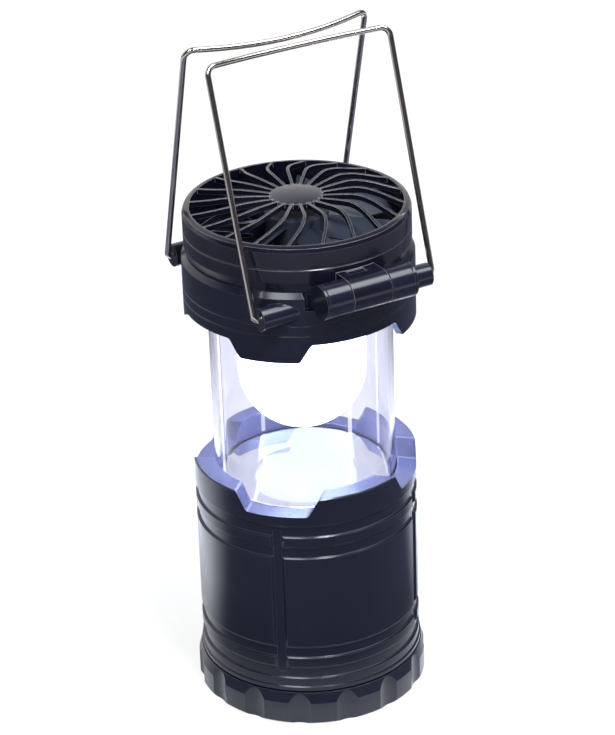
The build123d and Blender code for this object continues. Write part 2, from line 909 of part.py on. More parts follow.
# Grille: rim ring, twenty swept vanes and the hub cap
vane_rim_z = grille_top - vane_rim_drop
vane_hub_z = hub_top - vane_hub_drop
vane_tip_radius = rim_bore + grille_rim / 2
vane_mid_z = (vane_rim_z + vane_hub_z) / 2 + vane_crown
vane_middle = (
    vane_mid_radius * cos(radians(vane_mid_lead)),
    vane_mid_radius * sin(radians(vane_mid_lead)),
)
vane_tip = (
    vane_tip_radius * cos(radians(vane_tip_lag)),
    -vane_tip_radius * sin(radians(vane_tip_lag)),
)
with BuildPart() as vanes:
    with BuildSketch(Plane.XY.offset(pan_top)):
        with BuildLine():
            ThreePointArc((hub_radius / 2, 0), vane_middle, vane_tip)
        trace(line_width=vane_width)
    extrude(amount=hub_top - pan_top)
    revolve(
        outline(
            (0, vane_hub_z - vane_depth),
            (0, vane_hub_z),
            (hub_radius, vane_hub_z),
            (vane_mid_radius, vane_mid_z),
            (drum_radius, vane_rim_z),
            (drum_radius, vane_rim_z - vane_depth),
            (vane_mid_radius, vane_mid_z - vane_depth),
            (hub_radius, vane_hub_z - vane_depth),
        ),
        axis=Axis.Z,
        mode=Mode.INTERSECT,
    )
with BuildPart() as grille:
    revolve(
        outline(
            (drum_radius - parting_chamfer, pan_top),
            (drum_radius, pan_top + parting_chamfer),
            (drum_radius, grille_top - grille_round),
            (drum_radius - grille_edge, grille_top - grille_edge),
            (drum_radius - grille_round, grille_top),
            (rim_bore, grille_top),
            (rim_bore, pan_top),
        ),
        axis=Axis.Z,
    )
    with PolarLocations(0, vane_count):
        add(vanes.part)
    with BuildSketch(Plane.XZ):
        with BuildLine():
            hub_cap = ThreePointArc(
                (0, hub_top),
                (hub_crown_radius, hub_top - hub_crown_drop),
                (hub_radius, hub_top - hub_edge),
            )
            Polyline(
                hub_cap @ 1,
                (hub_radius, vane_hub_z - vane_depth),
                (0, vane_hub_z - vane_depth),
                hub_cap @ 0,
            )
        make_face()
    revolve(axis=Axis.Z)
finish(grille, "grille")

# Motor, its screws and shaft
with BuildPart() as motor:
    with BuildSketch(Plane.XY.offset(pan_floor_top)):
        Circle(motor_radius)
    extrude(amount=motor_height)
    with BuildSketch(Plane.XY.offset(motor_top)):
        Circle(motor_nose_radius)
    extrude(amount=motor_nose_height)
    with Locations((0, 0, motor_top + motor_nose_height - shaft_depth)):
        Cylinder(
            shaft_radius + shaft_play,
            shaft_depth,
            align=(Align.CENTER, Align.CENTER, Align.MIN),
            mode=Mode.SUBTRACT,
        )
finish(motor, "motor")

with BuildPart() as motor_screws:
    with PolarLocations(motor_screw_circle_radius, motor_screw_count):
        with Locations((0, 0, pan_bottom)):
            Cylinder(
                motor_screw_head_radius,
                motor_screw_head_height,
                align=(Align.CENTER, Align.CENTER, Align.MIN),
            )
finish(motor_screws, "motor_screws")

shaft_bottom = motor_top + motor_nose_height - shaft_depth + shaft_play
with BuildPart() as motor_shaft:
    with Locations((0, 0, shaft_bottom)):
        Cylinder(
            shaft_radius,
            impeller_top - impeller_hub_top / 2 - shaft_bottom,
            align=(Align.CENTER, Align.CENTER, Align.MIN),
        )
finish(motor_shaft, "motor_shaft")

# Impeller: a hub cup over the motor and its pitched blades
blade_root_radius = impeller_hub_radius - impeller_hub_wall / 2
blade_tip_radius = rim_bore - blade_tip_gap
blade_z = impeller_bottom + impeller_hub_height / 2
with BuildPart() as blade:
    for radius, chord, pitch in (
        (blade_root_radius, blade_root_chord, blade_root_pitch),
        (blade_tip_radius, blade_tip_chord, blade_tip_pitch),
    ):
        with BuildSketch(Plane(origin=(radius, 0, blade_z), x_dir=(0, 1, 0), z_dir=(1, 0, 0))):
            Rectangle(chord, blade_thickness, rotation=pitch)
    loft()
with BuildPart() as impeller:
    revolve(
        outline(
            (shaft_radius, impeller_top),
            (impeller_hub_radius, impeller_top),
            (impeller_hub_radius, impeller_bottom),
            (impeller_hub_radius - impeller_hub_wall, impeller_bottom),
            (impeller_hub_radius - impeller_hub_wall, impeller_top - impeller_hub_top),
            (impeller_boss_radius, impeller_top - impeller_hub_top),
            (impeller_boss_radius, impeller_top - impeller_hub_top - impeller_boss_height),
            (shaft_radius, impeller_top - impeller_hub_top - impeller_boss_height),
        ),
        axis=Axis.Z,
    )
    with PolarLocations(0, blade_count):
        add(blade.part)
finish(impeller, "impeller")

# Fan switch at the back: case inside the wall, knob through the slot
knob_x = -switch_travel / 2
knob_root_y = head_radius - head_wall - switch_case_gap
with BuildPart() as fan_switch_case:
    with Locations((0, knob_root_y, switch_z)):
        Box(
            switch_case_length,
            switch_case_depth,
            switch_case_height,
            align=(Align.CENTER, Align.MAX, Align.CENTER),
        )
    with Locations((0, 0, switch_z)):
        Cylinder(head_bore - switch_case_gap, 2 * switch_case_height, mode=Mode.INTERSECT)
finish(fan_switch_case, "fan_switch_case")

with BuildPart() as fan_switch_knob:
    with Locations((knob_x, knob_root_y, switch_z)):
        Box(
            knob_length,
            head_wall + switch_case_gap + knob_proud,
            knob_height,
            align=(Align.CENTER, Align.MIN, Align.CENTER),
        )
finish(fan_switch_knob, "fan_switch_knob")


def handle_path(side, lean):
    """Returns the corners of a wire handle on the front (-1) or rear (1), leaning to the middle."""
    tilt = radians(lean)

    def place(across, along, inwards):
        """Returns a point from its place across, along and out of the handle's plane."""
        depth = handle_axis_y - along * sin(tilt) - inwards * cos(tilt)
        return (across, side * depth, handle_z + along * cos(tilt) - inwards * sin(tilt))

    end_x = boss_end - wire_socket_depth + wire_radius
    leg = [(end_x, 0, 0), (handle_leg_x, 0, 0), (handle_leg_x, handle_length, 0)]
    left = [place(-across, along, inwards) for across, along, inwards in leg]
    right = [place(across, along, inwards) for across, along, inwards in reversed(leg)]
    return left + [place(0, handle_length, handle_bow_depth)] + right


half_grip = sqrt(handle_leg_x**2 + handle_bow_depth**2)
handle_bow_radius = (half_grip - 2 * handle_corner_radius) * handle_leg_x / handle_bow_depth
handle_radii = [
    handle_foot_radius,
    handle_corner_radius,
    handle_bow_radius,
    handle_corner_radius,
    handle_foot_radius,
]
with BuildPart() as front_handle_wire:
    with BuildLine() as front_path:
        FilletPolyline(*handle_path(-1, front_lean), radius=handle_radii)
    with BuildSketch(front_path.line ^ 0):
        Circle(wire_radius)
    sweep()
finish(front_handle_wire, "front_handle_wire")

with BuildPart() as rear_handle_wire:
    with BuildLine() as rear_path:
        FilletPolyline(*handle_path(1, rear_lean), radius=handle_radii)
    with BuildSketch(rear_path.line ^ 0):
        Circle(wire_radius)
    sweep()
finish(rear_handle_wire, "rear_handle_wire")
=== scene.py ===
"""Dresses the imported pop-up lantern with its finishes, fine pieces, stage, lights and camera."""

from __future__ import annotations

import logging
import math
from dataclasses import dataclass
from enum import Enum
from functools import lru_cache

import bmesh
import bpy
from mathutils import Matrix, Vector

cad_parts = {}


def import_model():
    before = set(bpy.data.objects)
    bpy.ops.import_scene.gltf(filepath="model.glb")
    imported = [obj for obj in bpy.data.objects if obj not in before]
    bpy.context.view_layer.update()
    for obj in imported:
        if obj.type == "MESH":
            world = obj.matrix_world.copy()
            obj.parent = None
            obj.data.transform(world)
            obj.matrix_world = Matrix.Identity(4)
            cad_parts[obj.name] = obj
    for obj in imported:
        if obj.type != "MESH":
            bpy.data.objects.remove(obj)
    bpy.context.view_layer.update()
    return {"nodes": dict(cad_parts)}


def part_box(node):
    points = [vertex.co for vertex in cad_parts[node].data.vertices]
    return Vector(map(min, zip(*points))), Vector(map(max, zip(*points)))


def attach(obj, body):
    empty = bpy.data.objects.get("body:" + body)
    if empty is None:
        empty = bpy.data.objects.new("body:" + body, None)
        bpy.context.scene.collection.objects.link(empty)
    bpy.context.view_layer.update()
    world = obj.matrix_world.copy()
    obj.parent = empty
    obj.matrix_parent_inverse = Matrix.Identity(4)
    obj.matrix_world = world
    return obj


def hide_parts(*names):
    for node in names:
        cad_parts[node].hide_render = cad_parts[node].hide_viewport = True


FRAME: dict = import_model()
LOG = logging.getLogger("lantern")
MM = 0.001
MERGE = 0.001 * MM
NEAR = 0.03 * MM
SHARP = math.radians(38.0)
AROUND = "around"
NOISE_RANGE = (0.3, 0.7)
RISING = (0.0, 1.0)
FALLING = (1.0, 0.0)


class Group(Enum):
    """Shared shader node groups."""

    GRAIN = "moulded_grain"
    MARKS = "handling_marks"


class Body(Enum):
    """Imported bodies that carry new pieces."""

    HEAD = "head"
    SWITCH = "switch"
    FAN = "fan"
    FRONT_HANDLE = "front_handle"
    REAR_HANDLE = "rear_handle"


def scaled(colour: tuple, share: float) -> tuple:
    """Makes a colour darker or lighter."""
    return tuple(channel * share for channel in colour)


def round_edges(shape: bmesh.types.BMesh, edges: list, radius: float, steps: int) -> None:
    """Rounds some edges of a mesh.

    Args:
        shape: The mesh.
        edges: Its edges to round.
        radius: The width of the rounding.
        steps: The faces across it.
    """
    bmesh.ops.bevel(
        shape,
        geom=edges,
        offset=radius,
        affect="EDGES",
        segments=steps,
        profile=0.5,
        material=-1,
    )


class Tree:
    """A node tree with short ways to add and join nodes."""

    def __init__(self, tree: bpy.types.NodeTree) -> None:
        """Keeps the tree and clears it.

        Args:
            tree: The node tree to fill.
        """
        self.tree = tree
        tree.nodes.clear()

    def add(self, kind: str, **values: object) -> bpy.types.Node:
        """Adds a node.

        Args:
            kind: Node type without its ShaderNode prefix.
            values: Node properties to set.

        Returns:
            The new node.
        """
        prefix = "" if kind.startswith("NodeGroup") else "ShaderNode"
        node = self.tree.nodes.new(prefix + kind)
        for name, value in values.items():
            setattr(node, name, value)
        return node

    def join(self, source: bpy.types.NodeSocket, target: bpy.types.NodeSocket) -> None:
        """Links two sockets."""
        self.tree.links.new(source, target)

    def feed(self, value: object, target: bpy.types.NodeSocket) -> None:
        """Gives a socket its value, or a link where the value is a socket too.

        Args:
            value: A number, a vector, a colour of three channels or a socket.
            target: The socket to fill.
        """
        if isinstance(value, bpy.types.NodeSocket):
            self.join(value, target)
        elif target.type == "RGBA":
            target.default_value = (*value, 1)
        else:
            target.default_value = value

    def noise(self, where: bpy.types.NodeSocket, scale: object, detail: float = 3.0) -> bpy.types.Node:
        """Adds a noise texture.

        Args:
            where: Socket with the coordinates.
            scale: Noise scale per metre, or the socket with it.
            detail: Noise octaves.

        Returns:
            The noise node.
        """
        node = self.add("TexNoise")
        self.join(where, node.inputs["Vector"])
        self.feed(scale, node.inputs["Scale"])
        self.feed(detail, node.inputs["Detail"])
        return node

    def span(
        self, value: bpy.types.NodeSocket, source: tuple, target: tuple = RISING
    ) -> bpy.types.NodeSocket:
        """Maps a value from one range to another.

        Args:
            value: Socket to map.
            source: Lowest and highest value in.
            target: Lowest and highest value out.

        Returns:
            The mapped socket.
        """
        node = self.add("MapRange")
        for name, number in zip(("From Min", "From Max", "To Min", "To Max"), (*source, *target)):
            self.feed(number, node.inputs[name])
        self.join(value, node.inputs["Value"])
        return node.outputs["Result"]

    def calculate(self, operation: str, *values: object) -> bpy.types.NodeSocket:
        """Works out a number from others.

        Args:
            operation: What is done with them.
            values: The numbers, or the sockets with them, in order.

        Returns:
            The result's socket.
        """
        node = self.add("Math", operation=operation)
        for value, target in zip(values, node.inputs):
            self.feed(value, target)
        return node.outputs["Value"]

    def vector(self, operation: str, *values: object) -> bpy.types.Node:
        """Adds a node that works with vectors.

        Args:
            operation: What is done with them.
            values: The vectors, or the sockets with them, in order.

        Returns:
            The vector node.
        """
        node = self.add("VectorMath", operation=operation)
        for value, target in zip(values, node.inputs):
            self.feed(value, target)
        return node

    def blend(self, share: bpy.types.NodeSocket, first: object, second: object) -> bpy.types.NodeSocket:
        """Mixes two colours.

        Args:
            share: Socket with the second colour's share.
            first: The first colour, or the socket with it.
            second: The second colour, or the socket with it.

        Returns:
            The mixed colour's socket.
        """
        node = self.add("Mix", data_type="RGBA")
        for name, value in (("Factor", share), ("A", first), ("B", second)):
            self.feed(value, node.inputs[name])
        return node.outputs["Result"]

    def choose(
        self,
        share: bpy.types.NodeSocket,
        first: bpy.types.NodeSocket,
        second: bpy.types.NodeSocket,
    ) -> bpy.types.NodeSocket:
        """Mixes two shaders.

        Args:
            share: Socket with the second shader's share.
            first: The first shader's socket.
            second: The second shader's socket.

        Returns:
            The mixed shader's socket.
        """
        node = self.add("MixShader")
        for source, target in zip((share, first, second), node.inputs):
            self.join(source, target)
        return node.outputs["Shader"]

    def bump(self, height: bpy.types.NodeSocket, strength: float, depth: float) -> bpy.types.Node:
        """Adds a relief.

        Args:
            height: Socket with the relief's height.
            strength: How strongly it shows.
            depth: How deep it is.

        Returns:
            The relief's node.
        """
        node = self.add("Bump")
        self.join(height, node.inputs["Height"])
        self.feed(strength, node.inputs["Strength"])
        self.feed(depth, node.inputs["Distance"])
        return node


@dataclass(frozen=True)
class SharedGroups:
    """Builds the shader node groups that several finishes use."""

    fine_detail: float = 2.0
    broad_scale: float = 38.0
    broad_detail: float = 4.0
    smear_scale: float = 55.0
    smear_detail: float = 6.0
    smear_twist: float = 1.2
    smear_range: tuple = (0.5, 0.72)
    speck_scale: float = 130.0
    speck_range: tuple = (0.016, 0.026)
    speck_rarity: float = 0.55

    def build(self) -> None:
        """Builds both groups."""
        self.grain()
        self.marks()

    @staticmethod
    def start(group: Group, takes: dict, gives: tuple) -> tuple:
        """Starts a group.

        Args:
            group: Which group it is.
            takes: The sockets that go in, with their types.
            gives: The values that come out.

        Returns:
            Its tree, the node of what goes in and the node of what comes out.
        """
        made = bpy.data.node_groups.new(group.value, "ShaderNodeTree")
        for name, kind in takes.items():
            made.interface.new_socket(name, in_out="INPUT", socket_type=kind)
        for name in gives:
            made.interface.new_socket(name, in_out="OUTPUT", socket_type="NodeSocketFloat")
        tree = Tree(made)
        return tree, tree.add("NodeGroupInput"), tree.add("NodeGroupOutput")

    def grain(self) -> None:
        """Builds the fine texture of a moulded surface, with a height and a soft tone."""
        takes = {"Vector": "NodeSocketVector", "Scale": "NodeSocketFloat"}
        tree, start, end = self.start(Group.GRAIN, takes, ("Height", "Tone"))
        place = start.outputs["Vector"]
        fine = tree.noise(place, start.outputs["Scale"], self.fine_detail)
        broad = tree.noise(place, self.broad_scale, self.broad_detail)
        tree.join(fine.outputs["Fac"], end.inputs["Height"])
        tree.join(broad.outputs["Fac"], end.inputs["Tone"])

    def marks(self) -> None:
        """Builds the masks of faint smears from handling and of sparse specks of dust."""
        tree, start, end = self.start(Group.MARKS, {"Vector": "NodeSocketVector"}, ("Mask", "Dust"))
        place = start.outputs["Vector"]
        smear = tree.noise(place, self.smear_scale, self.smear_detail)
        tree.feed(self.smear_twist, smear.inputs["Distortion"])
        tree.join(tree.span(smear.outputs["Fac"], self.smear_range), end.inputs["Mask"])
        specks = tree.add("TexVoronoi")
        tree.join(place, specks.inputs["Vector"])
        tree.feed(self.speck_scale, specks.inputs["Scale"])
        near = tree.span(specks.outputs["Distance"], self.speck_range, FALLING)
        parts = tree.add("SeparateXYZ")
        tree.join(specks.outputs["Color"], parts.inputs["Vector"])
        some = tree.calculate("GREATER_THAN", parts.outputs["X"], self.speck_rarity)
        tree.join(tree.calculate("MULTIPLY", near, some), end.inputs["Dust"])


@dataclass(frozen=True)
class Finish:
    """A finish whose material is built once and then shared."""

    name: str
    colour: tuple

    @lru_cache(maxsize=None)
    def material(self) -> bpy.types.Material:
        """Builds the material, once for each finish.

        Returns:
            The finished material.
        """
        made = bpy.data.materials.new(self.name)
        made.use_nodes = True
        tree = Tree(made.node_tree)
        skin = tree.add("BsdfPrincipled")
        place = tree.add("TexCoord").outputs["Object"]
        tree.join(self.shade(tree, skin, place), tree.add("OutputMaterial").inputs["Surface"])
        return made

    def shade(
        self, tree: Tree, skin: bpy.types.Node, place: bpy.types.NodeSocket
    ) -> bpy.types.NodeSocket:
        """Fills the material's nodes.

        Args:
            tree: The material's node tree.
            skin: Its main shader.
            place: Socket with the place on the piece.

        Returns:
            The socket of the finished surface.
        """
        raise NotImplementedError


@dataclass(frozen=True)
class MouldedFinish(Finish):
    """A moulded plastic or rubber with a fine grain, soft edges, faint marks, dust and, where set, a
    painted highlight along its edges.
    """

    shine: tuple
    grain: float = 1400.0
    grain_height: float = 0.05 * MM
    depth: float = 0.12
    edge: float = 0.0
    edge_samples: int = 6
    tone: float = 0.25
    specular: float = 0.5
    smear_dulling: float = 0.02
    dust: tuple = (0.3, 0.3, 0.32)
    # Colour of the painted highlight along the edges, and the range of edge turn over which it fades
    # in.
    edge_highlight: tuple = ()
    edge_highlight_range: tuple = (0.995, 0.86)

    def shade(
        self, tree: Tree, skin: bpy.types.Node, place: bpy.types.NodeSocket
    ) -> bpy.types.NodeSocket:
        """Fills the material's nodes.

        Args:
            tree: The material's node tree.
            skin: Its main shader.
            place: Socket with the place on the piece.

        Returns:
            The socket of the finished surface.
        """
        grain = tree.add("Group", node_tree=bpy.data.node_groups[Group.GRAIN.value])
        marks = tree.add("Group", node_tree=bpy.data.node_groups[Group.MARKS.value])
        for group in (grain, marks):
            tree.join(place, group.inputs["Vector"])
        tree.feed(self.grain, grain.inputs["Scale"])

        tone = grain.outputs["Tone"]
        low, high = scaled(self.colour, 1 - self.tone), scaled(self.colour, 1 + self.tone)
        colour = tree.blend(marks.outputs["Dust"], tree.blend(tone, low, high), self.dust)
        rough = tree.span(tone, NOISE_RANGE, self.shine)
        rough = tree.calculate("MULTIPLY_ADD", marks.outputs["Mask"], self.smear_dulling, rough)
        tree.join(rough, skin.inputs["Roughness"])

        relief = tree.bump(grain.outputs["Height"], self.depth, self.grain_height)
        if self.edge > 0:
            soft = tree.add("Bevel", samples=self.edge_samples)
            tree.feed(self.edge, soft.inputs["Radius"])
            tree.join(soft.outputs["Normal"], relief.inputs["Normal"])
            # Painted highlight: the colour turns lighter along the softened edges.
            if self.edge_highlight:
                colour = self.paint_edge_highlight(tree, soft.outputs["Normal"], colour)
        tree.join(colour, skin.inputs["Base Color"])
        tree.join(relief.outputs["Normal"], skin.inputs["Normal"])
        tree.feed(self.specular, skin.inputs["Specular IOR Level"])
        return skin.outputs["BSDF"]

    def paint_edge_highlight(
        self, tree: Tree, soft: bpy.types.NodeSocket, colour: bpy.types.NodeSocket
    ) -> bpy.types.NodeSocket:
        """Paints a lighter colour along the edges: a painted highlight where they would catch the
        light.

        Args:
            tree: The material's node tree.
            soft: Socket with the normal of the softened edges.
            colour: Socket with the colour so far.

        Returns:
            The socket of the colour with the painted edge highlight.
        """
        flat = tree.add("NewGeometry").outputs["Normal"]
        turned = tree.vector("DOT_PRODUCT", soft, flat).outputs["Value"]
        return tree.blend(tree.span(turned, self.edge_highlight_range), colour, self.edge_highlight)


@dataclass(frozen=True)
class MetalFinish(Finish):
    """A bare or plated metal with fine drawing lines."""

    shine: tuple
    lines: float = 900.0
    line_detail: float = 2.0
    patches: float = 60.0
    patch_share: float = 0.82

    def shade(
        self, tree: Tree, skin: bpy.types.Node, place: bpy.types.NodeSocket
    ) -> bpy.types.NodeSocket:
        """Fills the material's nodes.

        Args:
            tree: The material's node tree.
            skin: Its main shader.
            place: Socket with the place on the piece.

        Returns:
            The socket of the finished surface.
        """
        tree.feed(1.0, skin.inputs["Metallic"])
        lines = tree.noise(place, self.lines, self.line_detail).outputs["Fac"]
        tree.join(tree.span(lines, NOISE_RANGE, self.shine), skin.inputs["Roughness"])
        patch = tree.noise(place, self.patches).outputs["Fac"]
        colour = tree.blend(patch, scaled(self.colour, self.patch_share), self.colour)
        tree.join(colour, skin.inputs["Base Color"])
        return skin.outputs["BSDF"]


@dataclass(frozen=True)
class DrawnWireFinish(Finish):
    """A plated wire with faint drawing lines along its length."""

    shade_colour: tuple
    shine: tuple
    lines: float = 2.6
    line_detail: float = 4.0
    line_height: float = 0.05 * MM
    depth: float = 0.10
    patches: float = 90.0
    patch_range: tuple = (0.25, 0.75)
    patch_levels: tuple = (0.5, 1.0)

    def shade(
        self, tree: Tree, skin: bpy.types.Node, place: bpy.types.NodeSocket
    ) -> bpy.types.NodeSocket:
        """Fills the material's nodes.

        Args:
            tree: The material's node tree.
            skin: Its main shader.
            place: Socket with the place on the piece.

        Returns:
            The socket of the finished surface.
        """
        tree.feed(1.0, skin.inputs["Metallic"])
        around = tree.add("Attribute", attribute_name=AROUND).outputs["Vector"]
        drawn = tree.noise(around, self.lines, self.line_detail).outputs["Fac"]
        patch = tree.noise(place, self.patches).outputs["Fac"]
        patch = tree.span(patch, self.patch_range, self.patch_levels)
        bright = tree.calculate("MULTIPLY", tree.span(drawn, NOISE_RANGE), patch)
        tree.join(tree.blend(bright, self.shade_colour, self.colour), skin.inputs["Base Color"])
        tree.join(tree.span(bright, RISING, self.shine), skin.inputs["Roughness"])
        relief = tree.bump(drawn, self.depth, self.line_height)
        tree.join(relief.outputs["Normal"], skin.inputs["Normal"])
        return skin.outputs["BSDF"]


@dataclass(frozen=True)
class ClearFinish(Finish):
    """A clear moulded plastic that lets the lamp's light through, with a painted glow on its guide
    ribs.
    """

    shine: tuple = (0.015, 0.03)
    bend: float = 1.49
    flow: float = 30.0
    flow_detail: float = 2.0
    ripple: float = 22.0
    ripple_detail: float = 1.0
    ripple_depth: float = 0.08
    ripple_height: float = 0.4 * MM
    # Where the guide ribs get their painted glow, and its colour.
    rib_from: float = 35.1 * MM
    rib_low: float = 90.0 * MM
    rib_painted_glow: tuple = (0.55, 0.56, 0.62)

    def shade(
        self, tree: Tree, skin: bpy.types.Node, place: bpy.types.NodeSocket
    ) -> bpy.types.NodeSocket:
        """Fills the material's nodes.

        Args:
            tree: The material's node tree.
            skin: Its main shader.
            place: Socket with the place on the piece.

        Returns:
            The socket of the finished surface.
        """
        tree.feed(self.colour, skin.inputs["Base Color"])
        tree.feed(1.0, skin.inputs["Transmission Weight"])
        tree.feed(self.bend, skin.inputs["IOR"])
        flow = tree.noise(place, self.flow, self.flow_detail).outputs["Fac"]
        tree.join(tree.span(flow, NOISE_RANGE, self.shine), skin.inputs["Roughness"])
        ripple = tree.noise(place, self.ripple, self.ripple_detail).outputs["Fac"]
        relief = tree.bump(ripple, self.ripple_depth, self.ripple_height)
        tree.join(relief.outputs["Normal"], skin.inputs["Normal"])
        # Painted glow: emission on the guide ribs stands in for the lamp's light that they carry.
        tree.join(self.paint_rib_glow(tree, place), skin.inputs["Emission Color"])
        tree.feed(1.0, skin.inputs["Emission Strength"])
        lets = tree.add("BsdfTransparent")
        tree.feed(self.colour, lets.inputs["Color"])
        shadow = tree.add("LightPath").outputs["Is Shadow Ray"]
        return tree.choose(shadow, skin.outputs["BSDF"], lets.outputs["BSDF"])

    def paint_rib_glow(self, tree: Tree, place: bpy.types.NodeSocket) -> bpy.types.NodeSocket:
        """Paints a glow onto the guide ribs. It stands in for the lamp's light that they carry.

        Args:
            tree: The material's node tree.
            place: Socket with the place on the piece.

        Returns:
            Socket with the painted glow's colour, black away from the ribs.
        """
        parts = tree.add("SeparateXYZ")
        tree.join(place, parts.inputs["Vector"])
        flat = tree.add("CombineXYZ")
        for axis in ("X", "Y"):
            tree.join(parts.outputs[axis], flat.inputs[axis])
        reach = tree.vector("LENGTH", flat.outputs["Vector"]).outputs["Value"]
        proud = tree.calculate("GREATER_THAN", reach, self.rib_from)
        above = tree.calculate("GREATER_THAN", parts.outputs["Z"], self.rib_low)
        return tree.blend(tree.calculate("MULTIPLY", proud, above), (0.0, 0.0, 0.0), self.rib_painted_glow)


@dataclass(frozen=True)
class GlowFinish(Finish):
    """A frosted plastic that is lit from inside."""

    strength: float
    shine: tuple = (0.35, 0.5)
    frost: float = 420.0
    clouds: float = 35.0
    cloud_detail: float = 2.0
    cloud_share: float = 0.94

    def shade(
        self, tree: Tree, skin: bpy.types.Node, place: bpy.types.NodeSocket
    ) -> bpy.types.NodeSocket:
        """Fills the material's nodes.

        Args:
            tree: The material's node tree.
            skin: Its main shader.
            place: Socket with the place on the piece.

        Returns:
            The socket of the finished surface.
        """
        tree.feed(self.colour, skin.inputs["Base Color"])
        frost = tree.noise(place, self.frost).outputs["Fac"]
        tree.join(tree.span(frost, NOISE_RANGE, self.shine), skin.inputs["Roughness"])
        cloud = tree.noise(place, self.clouds, self.cloud_detail).outputs["Fac"]
        glow = tree.blend(cloud, scaled(self.colour, self.cloud_share), self.colour)
        tree.join(glow, skin.inputs["Emission Color"])
        tree.feed(self.strength, skin.inputs["Emission Strength"])
        return skin.outputs["BSDF"]


BLACK_SHELL = MouldedFinish(
    "black_shell",
    (0.0092, 0.0102, 0.0215),
    (0.16, 0.21),
    depth=0.04,
    edge=0.28 * MM,
    # Painted highlight colour along the edges of the grooves and rings.
    edge_highlight=(0.065, 0.067, 0.08),
)
BLACK_FAN = MouldedFinish(
    "black_fan",
    (0.006, 0.0058, 0.0145),
    (0.18, 0.23),
    depth=0.03,
    edge=0.36 * MM,
    specular=0.55,
    # Painted highlight colour along the edges, which lightens the vane tops and the ring's edges.
    edge_highlight=(0.23, 0.23, 0.235),
)
BLACK_INNER = MouldedFinish("black_inner", (0.012, 0.012, 0.014), (0.5, 0.62))
SEAL_RUBBER = MouldedFinish("seal_rubber", (0.015, 0.015, 0.015), (0.7, 0.85), grain=900.0)
INNER_PLASTIC = MouldedFinish("inner_plastic", (0.07, 0.07, 0.08), (0.45, 0.6))
WHITE_PLASTIC = MouldedFinish("white_plastic", (0.82, 0.84, 0.88), (0.25, 0.35), tone=0.03)
SMOKE_PLASTIC = MouldedFinish(
    "smoke_plastic",
    (0.03, 0.035, 0.052),
    (0.28, 0.38),
    tone=0.1,
    specular=0.25,
)
BOARD_MASK = MouldedFinish("board_mask", (0.02, 0.16, 0.06), (0.3, 0.4))
WIRE_STEEL = DrawnWireFinish("wire_steel", (0.88, 0.83, 0.78), (0.60, 0.53, 0.46), (0.20, 0.10))
SCREW_STEEL = MetalFinish("screw_steel", (0.55, 0.55, 0.55), (0.3, 0.45))
CELL_STEEL = MetalFinish("cell_steel", (0.5, 0.5, 0.52), (0.3, 0.4))
CONTACT_BRASS = MetalFinish("contact_brass", (0.72, 0.55, 0.26), (0.25, 0.4))
MIRROR_BOWL = MetalFinish("mirror_bowl", (0.95, 0.96, 0.98), (0.03, 0.06))
CLEAR_TUBE = ClearFinish("clear_tube", (0.885, 0.885, 0.97))
LAMP_DOME = GlowFinish("lamp_dome", (0.62, 0.76, 1.0), 8.0)
LED_CHIP = GlowFinish("led_chip", (1.0, 0.96, 0.82), 2.0)


